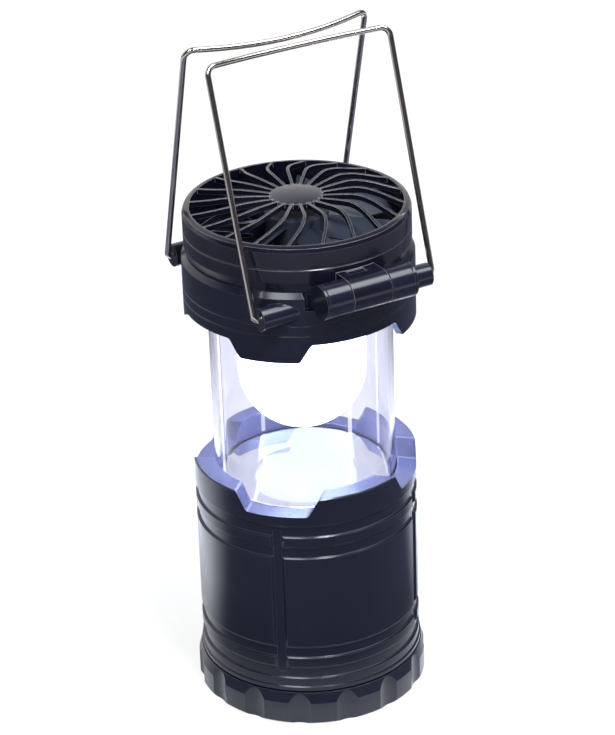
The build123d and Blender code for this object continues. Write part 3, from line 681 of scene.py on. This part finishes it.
@dataclass(frozen=True)
class CrossScrew:
    """A screw with a crowned head, a cross recess and, where it has one, a shank."""

    head_radius: float
    head_height: float
    shank_radius: float = 0.0
    shank_length: float = 0.0
    arm: float = 0.6
    arm_half: float = 0.15
    crown: float = 0.12
    recess: float = 0.62
    taper: float = 0.72
    cells: int = 5
    rim_cuts: int = 2
    rim_round: float = 0.14
    rim_steps: int = 3
    tip: float = 0.1
    tip_taper: float = 0.4

    def build(self, places: list) -> bmesh.types.BMesh:
        """Builds the screws.

        Args:
            places: Matrices that put each head's top, which faces Z, in its place.

        Returns:
            One mesh with all the screws.
        """
        shape = bmesh.new()
        for place in places:
            part = self.single()
            part.transform(place)
            scrap = bpy.data.meshes.new("scrap")
            part.to_mesh(scrap)
            part.free()
            shape.from_mesh(scrap)
            bpy.data.meshes.remove(scrap)
        return shape

    def single(self) -> bmesh.types.BMesh:
        """Builds one screw, with its head's top at the origin.

        Returns:
            The screw's mesh.
        """
        part = bmesh.new()
        bmesh.ops.create_grid(part, x_segments=self.cells, y_segments=self.cells, size=1.0)
        lines = (-1.0, -self.arm, -self.arm_half, self.arm_half, self.arm, 1.0)
        for vert in part.verts:
            vert.co.x = lines[round((vert.co.x + 1.0) * self.cells / 2)]
            vert.co.y = lines[round((vert.co.y + 1.0) * self.cells / 2)]
        bmesh.ops.subdivide_edges(part, edges=self.open_edges(part), cuts=self.rim_cuts)
        for vert in part.verts:
            if vert.is_boundary:
                vert.co.normalize()
            fall = 1.0 - vert.co.length_squared
            vert.co.z = self.crown * fall * self.head_height / self.head_radius
        bmesh.ops.scale(part, vec=(self.head_radius,) * 3, verts=part.verts)
        bmesh.ops.translate(part, vec=(0, 0, -self.crown * self.head_height), verts=part.verts)
        self.cross(part)
        rim = self.open_edges(part)
        self.drop(part, rim, 1.0, self.head_height * (1.0 - self.crown))
        if self.shank_length > 0:
            self.drop(part, self.open_edges(part), self.shank_radius / self.head_radius, 0.0)
            self.drop(part, self.open_edges(part), 1.0, self.shank_length * (1.0 - self.tip))
            self.drop(part, self.open_edges(part), self.tip_taper, self.shank_length * self.tip)
        bmesh.ops.edgeloop_fill(part, edges=self.open_edges(part))
        round_edges(part, rim, self.rim_round * self.head_height, self.rim_steps)
        bmesh.ops.recalc_face_normals(part, faces=part.faces)
        return part

    def cross(self, part: bmesh.types.BMesh) -> None:
        """Sinks the cross recess into the head.

        Args:
            part: The screw's mesh, a crowned disc so far.
        """
        reach = self.arm * self.head_radius
        half = self.arm_half * self.head_radius
        sunk = []
        for face in part.faces:
            across = sorted(abs(value) for value in face.calc_center_median()[:2])
            if across[0] < half and across[1] < reach:
                sunk.append(face)
        made = bmesh.ops.extrude_face_region(part, geom=sunk)
        floor = [item for item in made["geom"] if isinstance(item, bmesh.types.BMVert)]
        bmesh.ops.delete(part, geom=[face for face in sunk if face.is_valid], context="FACES")
        bmesh.ops.scale(part, vec=(self.taper, self.taper, 1.0), verts=floor)
        bmesh.ops.translate(part, vec=(0, 0, -self.recess * self.head_height), verts=floor)

    @staticmethod
    def open_edges(part: bmesh.types.BMesh) -> list:
        """Lists the edges with one face."""
        return [edge for edge in part.edges if edge.is_boundary]

    @staticmethod
    def drop(part: bmesh.types.BMesh, edges: list, share: float, depth: float) -> None:
        """Draws a ring of edges downwards.

        Args:
            part: The screw's mesh.
            edges: The ring of edges.
            share: Its new radius as a share of its old one.
            depth: How far it goes down.
        """
        made = bmesh.ops.extrude_edge_only(part, edges=edges)
        verts = [item for item in made["geom"] if isinstance(item, bmesh.types.BMVert)]
        bmesh.ops.scale(part, vec=(share, share, 1.0), verts=verts)
        bmesh.ops.translate(part, vec=(0, 0, -depth), verts=verts)


@dataclass(frozen=True)
class BentWire:
    """A round wire bent at rounded corners."""

    radius: float
    sides: int = 24
    end_round: float = 0.25 * MM
    end_steps: int = 2
    turn_step: float = math.radians(7.5)
    least_steps: int = 10

    def build(self, corners: list, rounds: tuple) -> bmesh.types.BMesh:
        """Builds the wire.

        Args:
            corners: The wire's two ends and the corners between them, in order.
            rounds: The bend radius at each corner between the ends.

        Returns:
            The wire's mesh, with each point's place around the wire as an attribute.
        """
        shape = bmesh.new()
        way = (corners[1] - corners[0]).normalized()
        stand = Matrix.Translation(corners[0]) @ way.to_track_quat("Z", "Y").to_matrix().to_4x4()
        bmesh.ops.create_circle(
            shape,
            cap_ends=False,
            radius=self.radius,
            segments=self.sides,
            matrix=stand,
        )
        around = shape.verts.layers.float_vector.new(AROUND)
        shape.verts.ensure_lookup_table()
        for vert in shape.verts:
            angle = math.tau * vert.index / self.sides
            vert[around] = (math.cos(angle), math.sin(angle), 0.0)
        ring = list(shape.edges)
        here = corners[0]
        for corner, after, bend in zip(corners[1:-1], corners[2:], rounds):
            onward = (after - corner).normalized()
            angle = way.angle(onward)
            start = corner - way * bend * math.tan(angle / 2)
            ring = self.run(shape, ring, start - here)
            inward = (onward - way * onward.dot(way)).normalized()
            ring = self.bend(shape, ring, start + inward * bend, way.cross(onward), angle)
            here = corner + onward * bend * math.tan(angle / 2)
            way = onward
        self.run(shape, ring, corners[-1] - here)
        rims = [edge for edge in shape.edges if edge.is_boundary]
        bmesh.ops.holes_fill(shape, edges=rims, sides=self.sides)
        round_edges(shape, rims, self.end_round, self.end_steps)
        bmesh.ops.recalc_face_normals(shape, faces=shape.faces)
        return shape

    @staticmethod
    def run(shape: bmesh.types.BMesh, ring: list, way: Vector) -> list:
        """Draws a ring of edges along a straight run.

        Args:
            shape: The wire's mesh.
            ring: The ring of edges at its end.
            way: How far and which way it goes.

        Returns:
            The ring of edges at the new end.
        """
        made = bmesh.ops.extrude_edge_only(shape, edges=ring)["geom"]
        verts = [item for item in made if isinstance(item, bmesh.types.BMVert)]
        bmesh.ops.translate(shape, vec=way, verts=verts)
        return [item for item in made if isinstance(item, bmesh.types.BMEdge) and item.is_boundary]

    def bend(
        self,
        shape: bmesh.types.BMesh,
        ring: list,
        middle: Vector,
        axis: Vector,
        angle: float,
    ) -> list:
        """Turns a ring of edges round a corner.

        Args:
            shape: The wire's mesh.
            ring: The ring of edges at its end.
            middle: The bend's middle.
            axis: The axis that it turns about.
            angle: How far it turns, in radians.

        Returns:
            The ring of edges at the new end.
        """
        verts = {vert for edge in ring for vert in edge.verts}
        made = bmesh.ops.spin(
            shape,
            geom=[*verts, *ring],
            cent=middle,
            axis=axis.normalized(),
            angle=angle,
            steps=max(self.least_steps, math.ceil(angle / self.turn_step)),
            use_merge=False,
            use_normal_flip=False,
            use_duplicate=False,
        )["geom_last"]
        return [item for item in made if isinstance(item, bmesh.types.BMEdge)]


@dataclass(frozen=True)
class VanedGrille:
    """A rim ring and a hub cap, joined by vanes that are domed and swept to one side."""

    radius: float
    bore: float
    bottom: float
    top: float
    hub_radius: float
    hub_top: float
    hub_floor: float
    hub_edge: float = 1.2 * MM
    rim_round: float = 2.1 * MM
    rim_edge: float = 0.62 * MM
    foot_chamfer: float = 0.3 * MM
    hub_sink: float = 0.7 * MM
    rim_sink: float = 0.35 * MM
    hub_steps: int = 8
    vanes: int = 20
    vane_width: float = 1.1 * MM
    vane_depth: float = 2.0 * MM
    vane_hub_drop: float = 1.1 * MM
    vane_rim_drop: float = 0.3 * MM
    vane_crown: float = 0.9 * MM
    vane_start: float = math.radians(-3.2)
    vane_lag: float = math.radians(13.5)
    bend_start: float = 0.35
    bend_length: float = 0.75
    stations: int = 18
    steps: int = 96

    def build(self) -> bmesh.types.BMesh:
        """Builds the vanes, the rim ring and the hub cap.

        Returns:
            The grille's mesh.
        """
        shape = bmesh.new()
        self.sweep_vanes(shape)
        self.turn(
            shape,
            (self.radius - self.foot_chamfer, self.bottom),
            (self.radius, self.bottom + self.foot_chamfer),
            (self.radius, self.top - self.rim_round),
            (self.radius - self.rim_edge, self.top - self.rim_edge),
            (self.radius - self.rim_round, self.top),
            (self.bore, self.top),
            (self.bore, self.bottom),
            (self.radius - self.foot_chamfer, self.bottom),
        )
        shares = [step / self.hub_steps for step in range(self.hub_steps + 1)]
        crown = [
            (self.hub_radius * share, self.hub_top - self.hub_edge * share**2) for share in shares
        ]
        self.turn(shape, *crown, (self.hub_radius, self.hub_floor), (0.0, self.hub_floor))
        bmesh.ops.remove_doubles(shape, verts=shape.verts, dist=MERGE)
        bmesh.ops.recalc_face_normals(shape, faces=shape.faces)
        return shape

    def sweep_vanes(self, shape: bmesh.types.BMesh) -> None:
        """Bends a straight bar into a vane and repeats it around the hub.

        Args:
            shape: The grille's mesh, still empty.
        """
        inner, outer = self.hub_radius - self.hub_sink, self.bore + self.rim_sink
        size = (outer - inner, self.vane_width, self.vane_depth)
        middle = ((inner + outer) / 2, 0.0, -self.vane_depth / 2)
        bmesh.ops.create_cube(shape, size=1.0)
        bmesh.ops.scale(shape, vec=size, verts=shape.verts)
        bmesh.ops.translate(shape, vec=middle, verts=shape.verts)
        for station in range(1, self.stations):
            place = inner + (outer - inner) * station / self.stations
            bmesh.ops.bisect_plane(
                shape,
                geom=[*shape.verts, *shape.edges, *shape.faces],
                plane_co=(place, 0, 0),
                plane_no=(1, 0, 0),
            )
        for vert in shape.verts:
            share = (vert.co.x - inner) / (outer - inner)
            vert.co = self.bent(share, vert.co)
        bmesh.ops.spin(
            shape,
            geom=[*shape.verts, *shape.edges, *shape.faces],
            cent=(0, 0, 0),
            axis=(0, 0, 1),
            angle=math.tau * (self.vanes - 1) / self.vanes,
            steps=self.vanes - 1,
            use_merge=False,
            use_normal_flip=False,
            use_duplicate=True,
        )

    def bent(self, share: float, point: Vector) -> Vector:
        """Finds where a point of the straight bar lies on the vane.

        Args:
            share: Its place along the vane, 0 at the hub and 1 at the rim.
            point: The point of the bar.

        Returns:
            The point of the vane.
        """
        past = max((share - self.bend_start) / self.bend_length, 0.0)
        turned = past**2 * (3 - 2 * past)
        angle = self.vane_start - self.vane_lag * turned
        hub_z, rim_z = self.hub_top - self.vane_hub_drop, self.top - self.vane_rim_drop
        dome = self.vane_crown * math.sin(math.pi * share)
        centre = Vector((point.x * math.cos(angle), point.x * math.sin(angle), hub_z + dome))
        centre.z += point.z - (hub_z - rim_z) * turned
        # The slope of the smooth step above, so that the bar's width stays square to its path.
        slope = 6 * past * (1 - past) / self.bend_length
        lean = math.atan(slope * self.vane_lag * point.x / (self.bore - self.hub_radius))
        side = Vector((-math.sin(angle - lean), math.cos(angle - lean), 0.0))
        return centre + side * point.y

    def turn(self, shape: bmesh.types.BMesh, *points: tuple) -> None:
        """Turns a profile about the grille's axis.

        Args:
            shape: The grille's mesh.
            points: The profile's corners, each a radius and a height.
        """
        verts = [shape.verts.new((radius, 0.0, height)) for radius, height in points]
        edges = [shape.edges.new(pair) for pair in zip(verts, verts[1:])]
        bmesh.ops.spin(
            shape,
            geom=[*verts, *edges],
            cent=(0, 0, 0),
            axis=(0, 0, 1),
            angle=math.tau,
            steps=self.steps,
            use_merge=True,
            use_normal_flip=False,
            use_duplicate=False,
        )


@dataclass
class SubAssembly:
    """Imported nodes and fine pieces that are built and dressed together."""

    def dress(self, finish: Finish, *nodes: str) -> None:
        """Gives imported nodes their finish.

        Args:
            finish: The finish.
            nodes: Names of the nodes.
        """
        for node in nodes:
            mesh = FRAME["nodes"][node].data
            mesh.materials.clear()
            mesh.materials.append(finish.material())
            LOG.info("dressed %s with %s", node, finish.name)

    def piece(
        self,
        name: str,
        shape: bmesh.types.BMesh,
        finish: Finish,
        body: Body,
        sharp: float = SHARP,
    ) -> bpy.types.Object:
        """Turns a shape into a piece that rides on a body.

        Args:
            name: The piece's name.
            shape: Its mesh, freed here.
            finish: Its finish.
            body: The body that carries it.
            sharp: The angle from which an edge stays sharp, in radians.

        Returns:
            The piece's object.
        """
        for face in shape.faces:
            face.smooth = True
        mesh = bpy.data.meshes.new(name)
        shape.to_mesh(mesh)
        shape.free()
        mesh.set_sharp_from_angle(angle=sharp)
        mesh.materials.append(finish.material())
        made = bpy.data.objects.new(name, mesh)
        bpy.context.scene.collection.objects.link(made)
        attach(made, body.value)
        LOG.info("built %s in %s on %s", name, finish.name, body.value)
        return made

    def build(self) -> None:
        """Builds and dresses the sub-assembly."""
        raise NotImplementedError


@dataclass
class Base(SubAssembly):
    """The body with its battery cap, cells and contacts."""

    def build(self) -> None:
        """Dresses the outer shells and what they hold."""
        self.dress(BLACK_SHELL, "body_shell", "battery_cap")
        self.dress(SEAL_RUBBER, "cap_seal")
        self.dress(INNER_PLASTIC, "inner_floor", "battery_tray")
        self.dress(CELL_STEEL, "battery_cells", "cell_contacts")
        self.dress(CONTACT_BRASS, "contact_rails")


@dataclass
class LightColumn(SubAssembly):
    """The clear tube, the mirror in its foot and the lamp that hangs in it."""

    lamp_height: float = 134.7 * MM
    lamp_radius: float = 20.0 * MM
    lamp_power: float = 4.8
    lamp_tint: tuple = (0.94, 1.0, 1.0)

    def lamp_light(self) -> None:
        """Adds the light that leaves the dome, carried by the head."""
        light = bpy.data.lights.new("lamp_light", "POINT")
        light.shadow_soft_size = self.lamp_radius
        light.energy = self.lamp_power
        light.color = self.lamp_tint
        made = bpy.data.objects.new("lamp_light", light)
        made.location = (0.0, 0.0, self.lamp_height)
        made.visible_glossy = False
        bpy.context.scene.collection.objects.link(made)
        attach(made, Body.HEAD.value)
        FRAME["nodes"]["light_dome"].visible_shadow = False

    def build(self) -> None:
        """Dresses the tube, the mirror and the lamp."""
        self.lamp_light()
        self.dress(CLEAR_TUBE, "clear_tube")
        self.dress(CONTACT_BRASS, "tube_brushes")
        self.dress(MIRROR_BOWL, "reflector_bowl")
        self.dress(WHITE_PLASTIC, "lamp_plate")
        self.dress(BOARD_MASK, "led_board")
        self.dress(LED_CHIP, "led_emitters")
        self.dress(LAMP_DOME, "light_dome")


@dataclass
class Head(SubAssembly):
    """The sliding head with its deck plate, hinge and fan switch."""

    screw_circle: float = 33.0 * MM
    screw_angles: tuple = (90.0, 210.0, 330.0)
    screw_head_radius: float = 2.6 * MM
    screw_head_height: float = 1.2 * MM
    screw_shank_radius: float = 1.2 * MM
    screw_shank_length: float = 9.7 * MM
    deck_top: float = 183.1 * MM
    knob_round: float = 0.35 * MM
    knob_steps: int = 3
    knob_grooves: int = 4
    groove_pitch: float = 0.9 * MM
    groove_half: float = 0.25 * MM
    groove_depth: float = 0.35 * MM
    groove_slope: float = 0.25 / 3 * MM

    def build(self) -> None:
        """Dresses the head and builds its screws and its switch knob."""
        self.dress(BLACK_SHELL, "head_shell", "hinge_caps")
        self.dress(BLACK_INNER, "deck_plate")
        self.dress(INNER_PLASTIC, "fan_switch_case")
        self.dress(SCREW_STEEL, "hinge_pin")
        self.deck_screws()
        self.switch_knob()

    def deck_screws(self) -> None:
        """Builds the three screws that hold the deck plate."""
        screw = CrossScrew(
            self.screw_head_radius,
            self.screw_head_height,
            self.screw_shank_radius,
            self.screw_shank_length,
        )
        places = []
        for angle in self.screw_angles:
            turn = Matrix.Rotation(math.radians(angle), 4, "Z")
            places.append(turn @ Matrix.Translation((self.screw_circle, 0.0, self.deck_top)))
        made = self.piece("deck_cross_screws", screw.build(places), SCREW_STEEL, Body.HEAD)
        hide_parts("deck_screws")

    def switch_knob(self) -> None:
        """Builds the ribbed knob of the fan switch."""
        low, high = (Vector(corner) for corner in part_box("fan_switch_knob"))
        middle = (low + high) / 2
        shape = bmesh.new()
        bmesh.ops.create_cube(shape, size=1.0)
        bmesh.ops.scale(shape, vec=high - low, verts=shape.verts)
        bmesh.ops.translate(shape, vec=middle, verts=shape.verts)
        outer = [edge for edge in shape.edges if max(vert.co.y for vert in edge.verts) > middle.y]
        round_edges(shape, outer, self.knob_round, self.knob_steps)
        first = middle.x - self.groove_pitch * (self.knob_grooves - 1) / 2
        for groove in range(self.knob_grooves):
            for side in (-1, 1):
                bmesh.ops.bisect_plane(
                    shape,
                    geom=[*shape.verts, *shape.edges, *shape.faces],
                    plane_co=(first + groove * self.groove_pitch + side * self.groove_half, 0, 0),
                    plane_no=(1, 0, 0),
                )
        strips = []
        for face in shape.faces:
            across = [vert.co.x for vert in face.verts]
            narrow = abs(max(across) - min(across) - 2 * self.groove_half) < NEAR
            if narrow and high.y - face.calc_center_median().y < NEAR:
                strips.append(face)
        bmesh.ops.inset_individual(
            shape,
            faces=strips,
            thickness=self.groove_slope,
            depth=-self.groove_depth,
        )
        bmesh.ops.recalc_face_normals(shape, faces=shape.faces)
        made = self.piece("ribbed_switch_knob", shape, BLACK_INNER, Body.SWITCH)
        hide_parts("fan_switch_knob")


@dataclass
class Fan(SubAssembly):
    """The flip-up fan: drum, grille, motor and impeller."""

    screw_circle: float = 7.0 * MM
    screw_angles: tuple = (0.0, 180.0)
    screw_head_radius: float = 1.8 * MM
    screw_head_height: float = 0.7 * MM
    pan_bottom: float = 183.6 * MM
    grille_bore: float = 40.0 * MM
    grille_sharp: float = math.radians(20.0)
    hub_radius: float = 10.0 * MM
    hub_rise: float = 4.2 * MM
    hub_height: float = 4.0 * MM

    def build(self) -> None:
        """Dresses the fan, and builds its grille and the motor's screws."""
        self.dress(BLACK_FAN, "fan_pan")
        self.dress(CELL_STEEL, "motor")
        self.dress(SCREW_STEEL, "motor_shaft")
        self.dress(SMOKE_PLASTIC, "impeller")
        self.grille()
        self.motor_screws()

    def grille(self) -> None:
        """Builds the grille over the impeller."""
        low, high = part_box("grille")
        grille = VanedGrille(
            radius=high[0],
            bore=self.grille_bore,
            bottom=low[2],
            top=high[2] - self.hub_rise,
            hub_radius=self.hub_radius,
            hub_top=high[2],
            hub_floor=high[2] - self.hub_height,
        )
        made = self.piece("vaned_grille", grille.build(), BLACK_FAN, Body.FAN, self.grille_sharp)
        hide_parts("grille")

    def motor_screws(self) -> None:
        """Builds the two screws that hold the motor, their heads facing down."""
        screw = CrossScrew(self.screw_head_radius, self.screw_head_height)
        over = Matrix.Rotation(math.pi, 4, "X")
        places = []
        for angle in self.screw_angles:
            turn = Matrix.Rotation(math.radians(angle), 4, "Z")
            move = Matrix.Translation((self.screw_circle, 0.0, self.pan_bottom))
            places.append(turn @ move @ over)
        made = self.piece("motor_cross_screws", screw.build(places), SCREW_STEEL, Body.FAN)
        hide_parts("motor_screws")


@dataclass
class Handles(SubAssembly):
    """The two wire handles."""

    wire_radius: float = 1.095 * MM
    axis_y: float = 34.0 * MM
    axis_z: float = 175.3 * MM
    end_x: float = 29.9 * MM
    leg_x: float = 37.8 * MM
    length: float = 92.8 * MM
    bow_depth: float = 10.3 * MM
    foot_round: float = 1.8 * MM
    corner_round: float = 3.6 * MM
    front_lean: float = 17.5
    rear_lean: float = 14.6

    def build(self) -> None:
        """Builds both wires."""
        self.wire("front", Body.FRONT_HANDLE, -1, self.front_lean)
        self.wire("rear", Body.REAR_HANDLE, 1, self.rear_lean)

    def wire(self, name: str, body: Body, side: int, lean: float) -> None:
        """Builds a wire, bent inwards in the middle of its grip.

        Args:
            name: Which handle it is.
            body: The body that it turns with.
            side: -1 for the front and 1 for the rear.
            lean: How far it leans to the middle, in degrees.
        """
        corners = [
            self.place(across, along, inwards, side, lean)
            for across, along, inwards in (
                (-self.end_x, 0.0, 0.0),
                (-self.leg_x, 0.0, 0.0),
                (-self.leg_x, self.length, 0.0),
                (0.0, self.length, self.bow_depth),
                (self.leg_x, self.length, 0.0),
                (self.leg_x, 0.0, 0.0),
                (self.end_x, 0.0, 0.0),
            )
        ]
        half_grip = math.hypot(self.leg_x, self.bow_depth)
        bow_round = (half_grip - 2 * self.corner_round) * self.leg_x / self.bow_depth
        rounds = (self.foot_round, self.corner_round, bow_round, self.corner_round, self.foot_round)
        shape = BentWire(self.wire_radius).build(corners, rounds)
        made = self.piece(f"{name}_bent_wire", shape, WIRE_STEEL, body)
        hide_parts(f"{name}_handle_wire")

    def place(self, across: float, along: float, inwards: float, side: int, lean: float) -> Vector:
        """Finds a point of a handle.

        Args:
            across: Its place across the lantern.
            along: Its place up the handle.
            inwards: How far it stands out of the handle's plane, to the middle.
            side: -1 for the front and 1 for the rear.
            lean: How far the handle leans to the middle, in degrees.

        Returns:
            The point at rest.
        """
        tilt = math.radians(lean)
        depth = self.axis_y - along * math.sin(tilt) - inwards * math.cos(tilt)
        height = self.axis_z + along * math.cos(tilt) - inwards * math.sin(tilt)
        return Vector((across, side * depth, height))


@dataclass(frozen=True)
class StudioLamp:
    """A soft square lamp."""

    name: str
    place: tuple
    size: float
    power: float
    gloss: bool = True
    tint: tuple = (0.90, 0.95, 1.0)

    def build(self, aim: tuple) -> None:
        """Adds the lamp to the scene.

        Args:
            aim: The point that it faces, in metres.
        """
        light = bpy.data.lights.new(self.name, "AREA")
        light.size = self.size
        light.color = self.tint
        light.energy = self.power
        made = bpy.data.objects.new(self.name, light)
        made.location = self.place
        made.visible_glossy = self.gloss
        made.rotation_euler = (Vector(aim) - Vector(self.place)).to_track_quat("-Z", "Y").to_euler()
        bpy.context.scene.collection.objects.link(made)


@dataclass
class Stage:
    """The pale floor, the white surroundings and the studio lamps."""

    floor_half: float = 6.0
    floor_drop: float = 0.0001
    floor_far: tuple = (0.095, 0.097, 0.13)
    floor_back: tuple = (0.95, 0.95, 0.97)
    floor_foot: tuple = (0.93, 0.93, 0.96)
    floor_outer: tuple = (0.72, 0.72, 0.72)
    outer_reach: tuple = (0.50, 0.62)
    back_edge: tuple = (0.0, 0.6)
    back_reach: tuple = (0.14, 0.32)
    foot_reach: tuple = (0.05, 0.085)
    floor_glow: tuple = (0.84, 1.0)
    glow_reach: tuple = (0.35, 1.6)
    shadow_share: float = 0.18
    floor_turn: float = 14.0
    backdrop_turn: float = 0.0
    backdrop_edge: tuple = (0.30, 0.78)
    backdrop_colour: tuple = (1.0, 1.0, 1.0)
    room_low: tuple = (0.03, 0.03, 0.045)
    room_high: tuple = (0.12, 0.12, 0.14)
    room_rise: tuple = (-0.1, 0.95)
    mirrored_share: float = 0.5
    inside_share: float = 0.25
    lamp_aim: tuple = (0.0, 0.0, 0.12)
    lamps: tuple = (
        StudioLamp("overhead", (0.50, -0.30, 1.30), 0.65, 10.5),
        StudioLamp("key", (-0.03, -0.60, 1.28), 0.18, 13.4),
        StudioLamp("side", (-0.62, -0.50, 1.10), 0.4, 5.0),
        StudioLamp("fill", (-0.7, -1.3, 0.9), 1.2, 10.0, gloss=False),
    )

    @staticmethod
    def behind(
        tree: Tree, place: bpy.types.NodeSocket, turn: float, edge: tuple
    ) -> bpy.types.NodeSocket:
        """Adds a mask that rises from the camera's side to the backdrop.

        Args:
            tree: The node tree to add to.
            place: Socket with a place or a direction.
            turn: The backdrop's turn about the upright axis, in degrees.
            edge: Where the mask starts and where it is full, along the way to the backdrop.

        Returns:
            The mask's socket.
        """
        angle = math.radians(turn)
        depth = tree.vector("DOT_PRODUCT", place, (math.sin(angle), math.cos(angle), 0.0))
        mask = tree.add("MapRange", interpolation_type="SMOOTHSTEP")
        for name, number in zip(("From Min", "From Max"), edge):
            tree.feed(number, mask.inputs[name])
        tree.join(depth.outputs["Value"], mask.inputs["Value"])
        return mask.outputs["Result"]

    def seen(self, tree: Tree) -> bpy.types.NodeSocket:
        """Adds a switch that is on where a surface is seen, straight or through something clear.

        Args:
            tree: The node tree to add to.

        Returns:
            The switch's socket.
        """
        path = tree.add("LightPath")
        mirrored = tree.span(path.outputs["Glossy Depth"], RISING, (1.0, self.mirrored_share))
        through = tree.calculate("MULTIPLY", path.outputs["Is Transmission Ray"], mirrored)
        straight = tree.calculate("MAXIMUM", path.outputs["Is Camera Ray"], through)
        inside = tree.span(path.outputs["Transmission Depth"], RISING, (0.0, self.inside_share))
        return tree.calculate("MAXIMUM", straight, inside)

    def floor(self) -> None:
        """Builds the floor."""
        shape = bmesh.new()
        bmesh.ops.create_grid(shape, x_segments=2, y_segments=2, size=self.floor_half)
        bmesh.ops.translate(shape, vec=(0, 0, -self.floor_drop), verts=shape.verts)
        mesh = bpy.data.meshes.new("floor")
        shape.to_mesh(mesh)
        shape.free()
        mesh.materials.append(self.floor_paper())
        made = bpy.data.objects.new("floor", mesh)
        bpy.context.scene.collection.objects.link(made)

    def floor_paper(self) -> bpy.types.Material:
        """Builds the floor's material: white with a shadow where it is seen, shaded where it lights.

        Returns:
            The floor's material.
        """
        made = bpy.data.materials.new("floor_paper")
        made.use_nodes = True
        tree = Tree(made.node_tree)
        place = tree.add("TexCoord").outputs["Object"]
        reach = tree.vector("LENGTH", place).outputs["Value"]
        shade = tree.add("BsdfDiffuse")
        tree.feed((self.shadow_share,) * 3, shade.inputs["Color"])
        white = tree.add("Emission")
        tree.join(tree.span(reach, self.glow_reach, self.floor_glow), white.inputs["Strength"])
        both = tree.add("AddShader")
        tree.join(shade.outputs["BSDF"], both.inputs[0])
        tree.join(white.outputs["Emission"], both.inputs[1])
        paper = tree.add("BsdfDiffuse")
        tree.join(self.floor_colour(tree, place, reach), paper.inputs["Color"])
        surface = tree.choose(self.seen(tree), paper.outputs["BSDF"], both.outputs["Shader"])
        tree.join(surface, tree.add("OutputMaterial").inputs["Surface"])
        return made

    def floor_colour(
        self, tree: Tree, place: bpy.types.NodeSocket, reach: bpy.types.NodeSocket
    ) -> bpy.types.NodeSocket:
        """Adds the colour that the floor shows to the lantern: pale at its foot and behind it.

        Args:
            tree: The floor's node tree.
            place: Socket with the place on the floor.
            reach: Socket with the distance from the lantern.

        Returns:
            The colour's socket.
        """
        way = tree.vector("NORMALIZE", place).outputs["Vector"]
        behind = self.behind(tree, way, self.floor_turn, self.back_edge)
        lit = tree.calculate("MULTIPLY", behind, tree.span(reach, self.back_reach, FALLING))
        colour = tree.blend(lit, self.floor_far, self.floor_back)
        colour = tree.blend(tree.span(reach, self.foot_reach, FALLING), colour, self.floor_foot)
        return tree.blend(tree.span(reach, self.outer_reach), colour, self.floor_outer)

    def surroundings(self) -> None:
        """Builds the world: white where it is seen, a dark room with a backdrop where it lights."""
        world = bpy.data.worlds.new("studio")
        bpy.context.scene.world = world
        world.use_nodes = True
        tree = Tree(world.node_tree)
        ray = tree.add("TexCoord").outputs["Generated"]
        parts = tree.add("SeparateXYZ")
        tree.join(ray, parts.inputs["Vector"])
        rise = tree.span(parts.outputs["Z"], self.room_rise)
        behind = self.behind(tree, ray, self.backdrop_turn, self.backdrop_edge)
        room = tree.blend(rise, self.room_low, self.room_high)
        studio = tree.add("Background")
        tree.join(tree.blend(behind, room, self.backdrop_colour), studio.inputs["Color"])
        white = tree.add("Background")
        tree.feed(self.backdrop_colour, white.inputs["Color"])
        surface = tree.choose(
            self.seen(tree), studio.outputs["Background"], white.outputs["Background"]
        )
        tree.join(surface, tree.add("OutputWorld").inputs["Surface"])

    def build(self) -> None:
        """Builds the floor, the surroundings and the lamps."""
        self.floor()
        self.surroundings()
        for lamp in self.lamps:
            lamp.build(self.lamp_aim)


@dataclass
class PhotoCamera:
    """The fitted camera of the photograph, in the model's frame."""

    focal_px: float = 2900.0
    height_px: float = 735.0
    sensor_mm: float = 36.0
    distance: float = 1.1067
    elevation: float = 26.45
    azimuth: float = -29.0
    roll: float = -1.97
    shift_right: float = 0.00203
    aim_height: float = 0.13211
    clip_start: float = 0.01

    def build(self) -> None:
        """Builds the camera and makes it the scene's camera."""
        rise = math.radians(self.elevation)
        turn = math.radians(self.azimuth)
        roll = math.radians(self.roll)
        right = Vector((math.cos(turn), math.sin(turn), 0.0))
        front = Vector((math.sin(turn), -math.cos(turn), 0.0))
        back = front * math.cos(rise) + Vector((0.0, 0.0, math.sin(rise)))
        up = back.cross(right)
        across = math.cos(roll) * right + math.sin(roll) * up
        upward = -math.sin(roll) * right + math.cos(roll) * up
        aim = right * self.shift_right + Vector((0, 0, self.aim_height))
        place = aim + back * self.distance
        lens = bpy.data.cameras.new("photo_camera")
        lens.sensor_width = self.sensor_mm
        lens.lens = self.focal_px * self.sensor_mm / self.height_px
        lens.clip_start = self.clip_start
        made = bpy.data.objects.new("photo_camera", lens)
        axes = Matrix((across, upward, back)).transposed().to_4x4()
        made.matrix_world = Matrix.Translation(place) @ axes
        bpy.context.scene.collection.objects.link(made)
        bpy.context.scene.camera = made


def main() -> None:
    """Builds the scene in order and reports each piece."""
    logging.basicConfig(level=logging.INFO, format="%(message)s")
    bpy.context.scene.view_settings.view_transform = "Standard"
    SharedGroups().build()
    PhotoCamera().build()
    Stage().build()
    for part in (Base(), LightColumn(), Head(), Fan(), Handles()):
        part.build()


if __name__ == "__main__":
    main()
